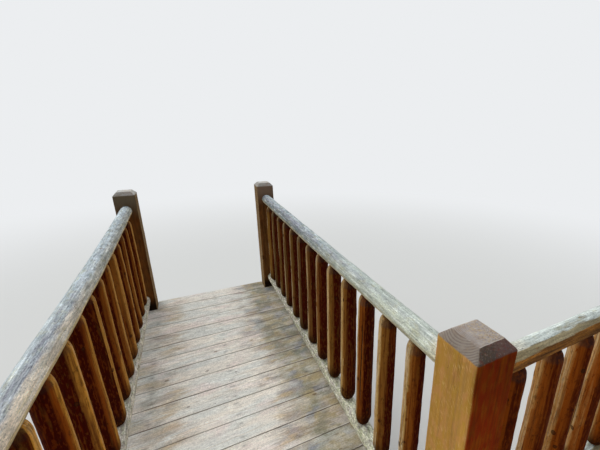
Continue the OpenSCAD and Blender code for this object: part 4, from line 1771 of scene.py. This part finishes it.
@dataclass
class Railings:
    """The rails and balusters along the walkway and in the guard wings."""

    rail_tenon: Pair = (0.022, 0.042)
    rail_neck: float = 0.024
    butt: float = 0.005
    far_round: float = 0.03
    peg: Pair = (0.016, 0.034)
    peg_neck: float = 0.019
    shoulder: float = 0.042
    taper: float = 0.0025
    walk_count: int = 13
    walk_first: float = 0.158
    guard_count: int = 8
    guard_first: float = 0.118
    guard_pitch: float = 0.177
    row_reach: float = 0.05
    rail_cracks: Pair = (0.7, 2.1)
    guard_crack: float = 4.3
    left_sag: Pair = (-0.005, 0.006)
    # The guard rail's open way leans towards the light, so its stained lower half is partly painted shade.
    guard_finish: RailFinish = RailFinish(
        Axis.X, open_way=(0.0, 0.62, 0.78), top_near=(204, 212, 206), crown=(0.0, 0.0), borders=(-0.16, 0.34),
        ragged=0.5, blotched=0.6, climb=0.18, cream=(168, 148, 104), under=(184, 122, 56), dark=(118, 78, 42),
        fresh=0.65, fresh_reach=0.2, tail=0.3)

    def rail(self, node: str, axis: Axis, rounds: Pair, seed: int, crack_at: float, sag: Pair) -> PeeledLog:
        """Describes the log for a rail's node.

        Args:
            node: the CAD node.
            axis: the way it runs.
            rounds: the lengths of its shoulders.
            seed: its random seed.
            crack_at: the angle of its drying crack.
            sag: how far its middle is bowed along its own a and b axes.

        Returns:
            The log.
        """
        low, high = seat_of(node)
        middle = (low + high) / 2
        a, _, along = axis.value
        radius = (high[a] - low[a]) / 2
        start = middle.copy()
        start[along] = low[along] + self.rail_tenon[1]
        length = high[along] - low[along] - 2 * self.rail_tenon[1]
        return PeeledLog(axis, tuple(start), length, (radius, radius), rounds, self.rail_neck,
                         self.rail_tenon, seed, crack_at=crack_at, sag=sag, knots=int(4 * length),
                         knot_size=(0.004, 0.008))

    def baluster_row(self, node: str, places: Sequence[Pair], rails: tuple[str, str],
                     seed: int) -> Shell:
        """Builds a row of balusters.

        Each log's thickness is read from the CAD node at its place.

        Args:
            node: the CAD node of the row.
            places: the (x, y) of each baluster.
            rails: the nodes of the bottom and top rails.
            seed: the row's random seed.

        Returns:
            The row's shell.
        """
        bottom, top = seat_of(rails[0])[1][2], seat_of(rails[1])[0][2]
        co = np.empty(len(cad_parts[node].data.vertices) * 3, np.float32)
        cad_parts[node].data.vertices.foreach_get("co", co)
        co = co.reshape(-1, 3)
        rng = np.random.default_rng(seed)
        shells = []
        for number, (x, y) in enumerate(places):
            away = np.hypot(co[:, 0] - x, co[:, 1] - y)
            radius = float(away[away < self.row_reach].max())
            log = PeeledLog(Axis.Z, (x, y, bottom), top - bottom, (radius, radius - self.taper),
                            (self.shoulder, self.shoulder), self.peg_neck, self.peg, seed * 50 + number,
                            cols=36, step=0.0115, flats=int(rng.integers(7, 11)), flatness=0.85, bow=0.0025,
                            knots=int(rng.integers(3, 7)), knot_size=(0.0035, 0.008),
                            crack=0.0035 if rng.random() < 0.6 else 0.0008, crack_at=rng.uniform(0, TAU),
                            crack_width=0.0014, crowding=0.6, tone=rng.uniform(0.15, 0.85))
            shells.append(log.shell())
        return Shell.joined(shells)

    def finishes(self, side: Side) -> dict[str, Union[RailFinish, BalusterFinish]]:
        """Describes the finishes of one side's logs. Those on the left have colours of their own.

        Args:
            side: the side of the walkway.

        Returns:
            Each finish by the name of its logs.
        """
        open_way = (-0.5 * side.value, 0.866)
        top = RailFinish(Axis.Y, inner=-side.value)
        low = RailFinish(Axis.Y, inner=-side.value, top_near=(252, 255, 224), top_far=(170, 164, 144),
                         side_near=(246, 248, 216), side_far=(176, 170, 152), lilac=(134, 118, 118),
                         cream=(226, 222, 188), under=(164, 108, 52), dark=(98, 66, 38),
                         lichen=(146, 158, 128), crown=(0.2, 0.35), mottle=0.5, borders=(-0.62, -0.5))
        bars = BalusterFinish(open_way)
        guard = BalusterFinish(open_way, first=0.0, gold=(194, 144, 80), silver=(196, 170, 126),
                               mid=(166, 84, 22), olive=(150, 86, 30), shade=(92, 30, 4))
        if side is Side.LEFT:
            top = replace(
                top, top_near=(186, 194, 198), top_far=(187, 199, 205), side_near=(248, 230, 206),
                side_far=(182, 182, 174), crown=(1.0, 0.4), lilac=(138, 138, 148), crown_span=(0.1, 0.66),
                outer=0.1, shoulder=0.16, borders=(-0.42, -0.04), cream=(220, 196, 144), ragged=0.45)
            low = replace(low, top_near=(255, 250, 236), top_far=(214, 206, 190), side_near=(255, 250, 236),
                          side_far=(214, 204, 186), mottle=0.4)
            bars = replace(bars, lit=(-0.1, 0.24), dim=(-0.16, -0.56), silver_from=0.36, cap=0.4, first=0.0,
                           gold=(212, 150, 58), silver=(216, 172, 112), mid=(150, 74, 14),
                           far_gold=(196, 142, 68), far_mid=(138, 80, 26))
        return {"top_rail": top, "bottom_rail": low, "baluster": bars, "guard_baluster": guard}

    def places(self, side: Side) -> dict[str, list[Pair]]:
        """Works out where one side's balusters stand, from its posts.

        Args:
            side: the side of the walkway.

        Returns:
            The (x, y) of each baluster in the walkway's row and in the guard's row.
        """
        low, high = seat_of(f"near_post_{side.tag}")
        x, y, _ = (low + high) / 2
        start = high[1] + self.walk_first
        pitch = (seat_of(f"far_post_{side.tag}")[0][1] - start) / self.walk_count
        face = (high if side is Side.RIGHT else low)[0]
        reach = [self.guard_first + self.guard_pitch * n for n in range(self.guard_count)]
        return {"baluster": [(x, start + pitch * n) for n in range(self.walk_count)],
                "guard_baluster": [(face + side.value * out, y) for out in reach]}

    def build(self, maker: Maker) -> None:
        """Builds every rail and every row of balusters on both sides."""
        guard_wood = self.guard_finish.build("guard_rail_wood")
        straight = (0.0, 0.0)
        for side in Side:
            tag, sign = side.tag, side.value
            woods = {stem: finish.build(f"{stem}_{tag}_wood") for stem, finish in self.finishes(side).items()}
            for number, stem in enumerate(("top_rail", "bottom_rail")):
                node = f"{stem}_{tag}"
                bowed = side is Side.LEFT and stem == "top_rail"
                log = self.rail(node, Axis.Y, (self.butt, self.far_round), 500 + 10 * number + sign,
                                self.rail_cracks[number] * sign, self.left_sag if bowed else straight)
                maker.piece(f"{node}_log", log.shell(), woods[stem], [node])
                node = f"guard_{stem}_{tag}"
                log = self.rail(node, Axis.X, (self.butt, self.butt), 600 + 10 * number + sign,
                                self.guard_crack, straight)
                maker.piece(f"{node}_log", log.shell(), guard_wood, [node])
            for seed, (stem, places) in zip((21, 31), self.places(side).items()):
                prefix = stem.removesuffix("baluster")
                node = f"{stem}s_{tag}"
                rails = (f"{prefix}bottom_rail_{tag}", f"{prefix}top_rail_{tag}")
                row = self.baluster_row(node, places, rails, seed + sign)
                maker.piece(f"{stem}_row_{tag}", row, woods[stem], [node])


@dataclass
class Substructure:
    """The CAD timbers and hangers under the deck, which keep their shapes."""

    runs: dict[Axis, tuple[str, ...]] = field(default_factory=lambda: {
        Axis.X: ("end_header", "landing_rim", "landing_ledger"),
        Axis.Y: ("side_joist_left", "side_joist_right", "centre_joist", "landing_joists"),
        Axis.Z: ("inner_leg_left", "inner_leg_right", "outer_leg_left", "outer_leg_right"),
    })

    def build(self, maker: Maker) -> None:
        """Dresses the frame's timbers and hangers."""
        for axis, nodes in self.runs.items():
            wood = FrameFinish().build(f"frame_wood_{axis.name.lower()}", axis)
            for node in nodes:
                maker.dress(node, wood)
        maker.dress("joist_hangers", SteelFinish().build("hanger_steel", 0.1))


@dataclass(frozen=True)
class Fasteners:
    """Bolts through the posts, screws through the rim, and the nails of the joists and hangers.

    The nails into a joist come in pairs beside its middle, and above and below the rim's screws.
    """

    dome: Turned = Turned(((0.0105, -0.0005), (0.0104, 0.0008), (0.0092, 0.0028), (0.0066, 0.0044),
                           (0.003, 0.0051)), 18)
    washer: Turned = Turned(((0.0062, -0.0004), (0.0148, -0.0004), (0.0152, 0.0004), (0.0152, 0.0016),
                             (0.0148, 0.002), (0.0062, 0.002)), 24)
    hexagon: Turned = Turned(((0.0108, 0.0018), (0.0109, 0.0022), (0.0109, 0.0086), (0.0098, 0.0094)), 6)
    stub: Turned = Turned(((0.0052, 0.0), (0.0052, 0.0138), (0.0042, 0.0148)), 12)
    nail: Turned = Turned(((0.0042, -0.0003), (0.0043, 0.0004), (0.0034, 0.0012), (0.0012, 0.0015)), 8)
    rim_edge: float = 0.045
    spread: float = 0.03
    hung: tuple[float, ...] = (0.83975, 1.2435, 1.64725)
    walk_joist: float = 0.436
    sheet: float = 0.0015
    flange_middle: float = 0.0365
    nailing: tuple[Pair, ...] = ((0.005, 0.022), (-0.005, 0.06), (0.005, 0.098))
    nail_pair: Pair = (-0.008, 0.007)
    nail_rise: Pair = (-0.015, 0.012)

    def through_posts(self, levels: Sequence[float]) -> list[Shell]:
        """Builds the bolts through the posts and the joists beside them.

        Args:
            levels: the heights of the bolts.

        Returns:
            Domed heads on the posts' outer faces, and washers and nuts on the joists' inner faces.
        """
        shells = []
        thick = float(np.ptp([corner[0] for corner in seat_of("side_joist_right")]))
        for stem in ("near_post", "guard_post", "far_post"):
            for side in Side:
                low, high = seat_of(f"{stem}_{side.tag}")
                faces = (high[0], low[0] - thick) if side is Side.RIGHT else (low[0], high[0] + thick)
                middle = (low[1] + high[1]) / 2
                along = (middle - self.spread, middle + self.spread)
                heads = np.array([(faces[0], y, z) for y, z in zip(along, levels)])
                backs = heads * (0, 1, 1) + (faces[1], 0, 0)
                shells.append(self.dome.shells(heads, Axis.X, side.value))
                for part in (self.washer, self.hexagon, self.stub):
                    shells.append(part.shells(backs, Axis.X, -side.value))
        return shells

    def through_rim(self, levels: Sequence[float]) -> list[Shell]:
        """Builds the screws that hold the rim to the posts, and the nails into the joists behind it.

        Args:
            levels: the heights of the screws.

        Returns:
            The heads on the rim's far face.
        """
        face = float(seat_of("landing_rim")[1][1])
        posts = [seat_of(f"{stem}_{side.tag}") for stem in ("near_post", "guard_post") for side in Side]
        places = [(low[0] + high[0]) / 2 + math.copysign(self.spread, low[0]) for low, high in posts]
        screws = np.array([(x, face, z) for x in places for z in levels])
        rises = (levels[0] + self.nail_rise[0], sum(levels) / 2, levels[1] + self.nail_rise[1])
        nails = np.array([(side.value * x + shift, face, z) for side in Side for x in self.hung
                          for shift in self.nail_pair for z in rises])
        pairs = ((self.washer, screws), (self.hexagon, screws), (self.nail, nails))
        return [part.shells(spots, Axis.Y) for part, spots in pairs]

    def in_hangers(self) -> list[Shell]:
        """Builds the nails in the flanges of the joist hangers, three to a flange, a little staggered.

        Returns:
            The nails' heads.
        """
        rim, ledger, header = (seat_of(node) for node in ("landing_rim", "landing_ledger", "end_header"))
        landing = [0.0] + [side.value * x for side in Side for x in self.hung]
        walk = [side.value * self.walk_joist for side in Side] + [0.0]
        rows = ((ledger[1][1], 1, landing), (rim[0][1], -1, landing), (rim[1][1], 1, walk),
                (header[0][1], -1, [0.0]))
        shells = []
        for face, way, joists in rows:
            y = face + way * self.sheet
            nails = [(x + side.value * (self.flange_middle + aside), y, rim[0][2] + z)
                     for x in joists for side in Side for aside, z in self.nailing]
            shells.append(self.nail.shells(np.array(nails), Axis.Y, way))
        return shells

    def build(self, maker: Maker) -> None:
        """Builds all the fasteners as three pieces."""
        low, high = seat_of("landing_rim")
        levels = (low[2] + self.rim_edge, high[2] - self.rim_edge)
        steel = SteelFinish().build("bolt_steel", 0.35)
        maker.piece("post_bolts", Shell.joined(self.through_posts(levels)), steel)
        maker.piece("rim_screws", Shell.joined(self.through_rim(levels)), steel)
        maker.piece("hanger_nails", Shell.joined(self.in_hangers()), steel)


@dataclass(frozen=True)
class Studio:
    """The camera, the lights and the floor."""

    focal: float = 321.12
    centre: Pair = (353.04, 230.75)
    pitch: float = 0.31573
    yaw: float = -0.47836
    roll: float = 0.014426
    eye: tuple[float, float, float] = (-0.08126, -1.45486, 1.990)
    picture: tuple[int, int] = (600, 450)
    sensor: float = 36.0
    floor_colour: Colour = (214, 214, 211)
    bounce_colour: Colour = (150, 148, 142)
    sky_colour: Colour = (236, 238, 240)
    ambient: float = 0.2
    open_light: float = 0.95
    open_side: tuple[float, float, float] = (-0.1, 0.82, 0.56)
    surround: Colour = (246, 250, 255)
    floor_reach: float = 60.0
    fade: Pair = (3.0, 9.0)

    def camera(self) -> None:
        """Places the camera.

        The rows of a turn by the roll, the pitch and the yaw are the camera's right, down and forward
        directions. The shift puts the view's principal point where the photograph has it.
        """
        width, height = self.picture
        data = bpy.data.cameras.new("viewpoint")
        data.sensor_width = self.sensor
        data.lens = self.focal / width * self.sensor
        data.shift_x = (width / 2 - self.centre[0]) / width
        data.shift_y = (self.centre[1] - height / 2) / width
        data.clip_start = 0.02
        view = (Matrix.Rotation(self.roll, 3, "Z") @ Matrix.Rotation(self.pitch + math.pi / 2, 3, "X")
                @ Matrix.Rotation(-self.yaw, 3, "Z"))
        turn = view.transposed() @ Matrix.Diagonal((1, -1, -1))
        camera = bpy.data.objects.new("viewpoint", data)
        camera.matrix_world = Matrix.Translation(self.eye) @ turn.to_4x4()
        bpy.context.scene.collection.objects.link(camera)
        bpy.context.scene.camera = camera

    def lamp(self, name: str, source: tuple[float, float, float], strength: float, spread: float,
             colour: Colour) -> None:
        """Adds a distant soft light.

        Args:
            name: the light's name.
            source: the direction that it comes from.
            strength: its strength, where pi shows a colour that faces it as it is written.
            spread: the angle in degrees that the source fills.
            colour: its colour.
        """
        data = bpy.data.lights.new(name, "SUN")
        data.energy = strength * math.pi
        data.angle = math.radians(spread)
        data.color = linear(colour)[:3]
        lamp = bpy.data.objects.new(name, data)
        lamp.rotation_mode = "QUATERNION"
        lamp.rotation_quaternion = (-Vector(source)).to_track_quat("-Z", "Y")
        bpy.context.scene.collection.objects.link(lamp)

    def floor(self) -> None:
        """Lays the floor, which takes shadows nearby and fades to the background further off."""
        mesh = bpy.data.meshes.new("studio_floor")
        reach = self.floor_reach
        mesh.from_pydata([(-reach, -reach, 0), (reach, -reach, 0), (reach, reach, 0), (-reach, reach, 0)], [],
                         [(0, 1, 2, 3)])
        g = TimberGraph("studio_floor")
        seen = g.out(g.node("ShaderNodeLightPath"), "Is Camera Ray")
        paint = g.node("ShaderNodeBsdfPrincipled", sockets={
            "Base Color": g.mix(seen, self.bounce_colour, self.floor_colour), "Roughness": 0.9,
            "Specular IOR Level": 0.1})
        glow = g.node("ShaderNodeEmission", sockets={"Color": linear(self.sky_colour), "Strength": 1.0})
        share = seen * g.step(g.length(g.place), *self.fade)
        both = g.node("ShaderNodeMixShader", sockets={0: share, 1: g.out(paint), 2: g.out(glow)})
        g.node("ShaderNodeOutputMaterial", sockets={"Surface": g.out(both)})
        mesh.materials.append(g.owner)
        floor = bpy.data.objects.new("studio_floor", mesh)
        bpy.context.scene.collection.objects.link(floor)

    def world(self) -> None:
        """Sets a soft surround, stronger from above and from the walkway's far end.

        It looks evenly pale to the camera and to reflections.
        """
        world = bpy.data.worlds.new("studio")
        bpy.context.scene.world = world
        g = Graph(world)
        path = g.node("ShaderNodeLightPath")
        seen = g.maths("MAXIMUM", g.out(path, "Is Camera Ray"), g.out(path, "Is Glossy Ray"))
        way = g.parts(g.out(g.node("ShaderNodeTexCoord"), "Generated"))
        open_side = sum(part * share for part, share in zip(way, self.open_side))
        strength = self.ambient + (self.open_light - self.ambient) * g.step(open_side, -0.3, 0.6)
        light = g.node("ShaderNodeBackground", sockets={"Color": linear(self.surround), "Strength": strength})
        shown = g.node("ShaderNodeBackground", sockets={"Color": linear(self.sky_colour), "Strength": 1.0})
        both = g.node("ShaderNodeMixShader", sockets={0: seen, 1: g.out(light), 2: g.out(shown)})
        g.node("ShaderNodeOutputWorld", sockets={"Surface": g.out(both)})

    def build(self) -> None:
        """Sets up the whole studio."""
        self.camera()
        self.floor()
        self.world()
        self.lamp("open_sky", (-0.35, 0.8, 0.7), 0.38, 60.0, (255, 252, 246))
        self.lamp("overhead", (-0.5, 0.1, 0.9), 0.1, 110.0, (250, 252, 255))
        bpy.context.scene.view_settings.view_transform = "Standard"


def main() -> None:
    """Builds the studio and the object in order."""
    logging.basicConfig(level=logging.INFO, format="%(message)s")
    maker = Maker()
    Studio().build()
    Deck().build(maker)
    Posts().build(maker)
    Railings().build(maker)
    Substructure().build(maker)
    Fasteners().build(maker)


if __name__ == "__main__":
    main()
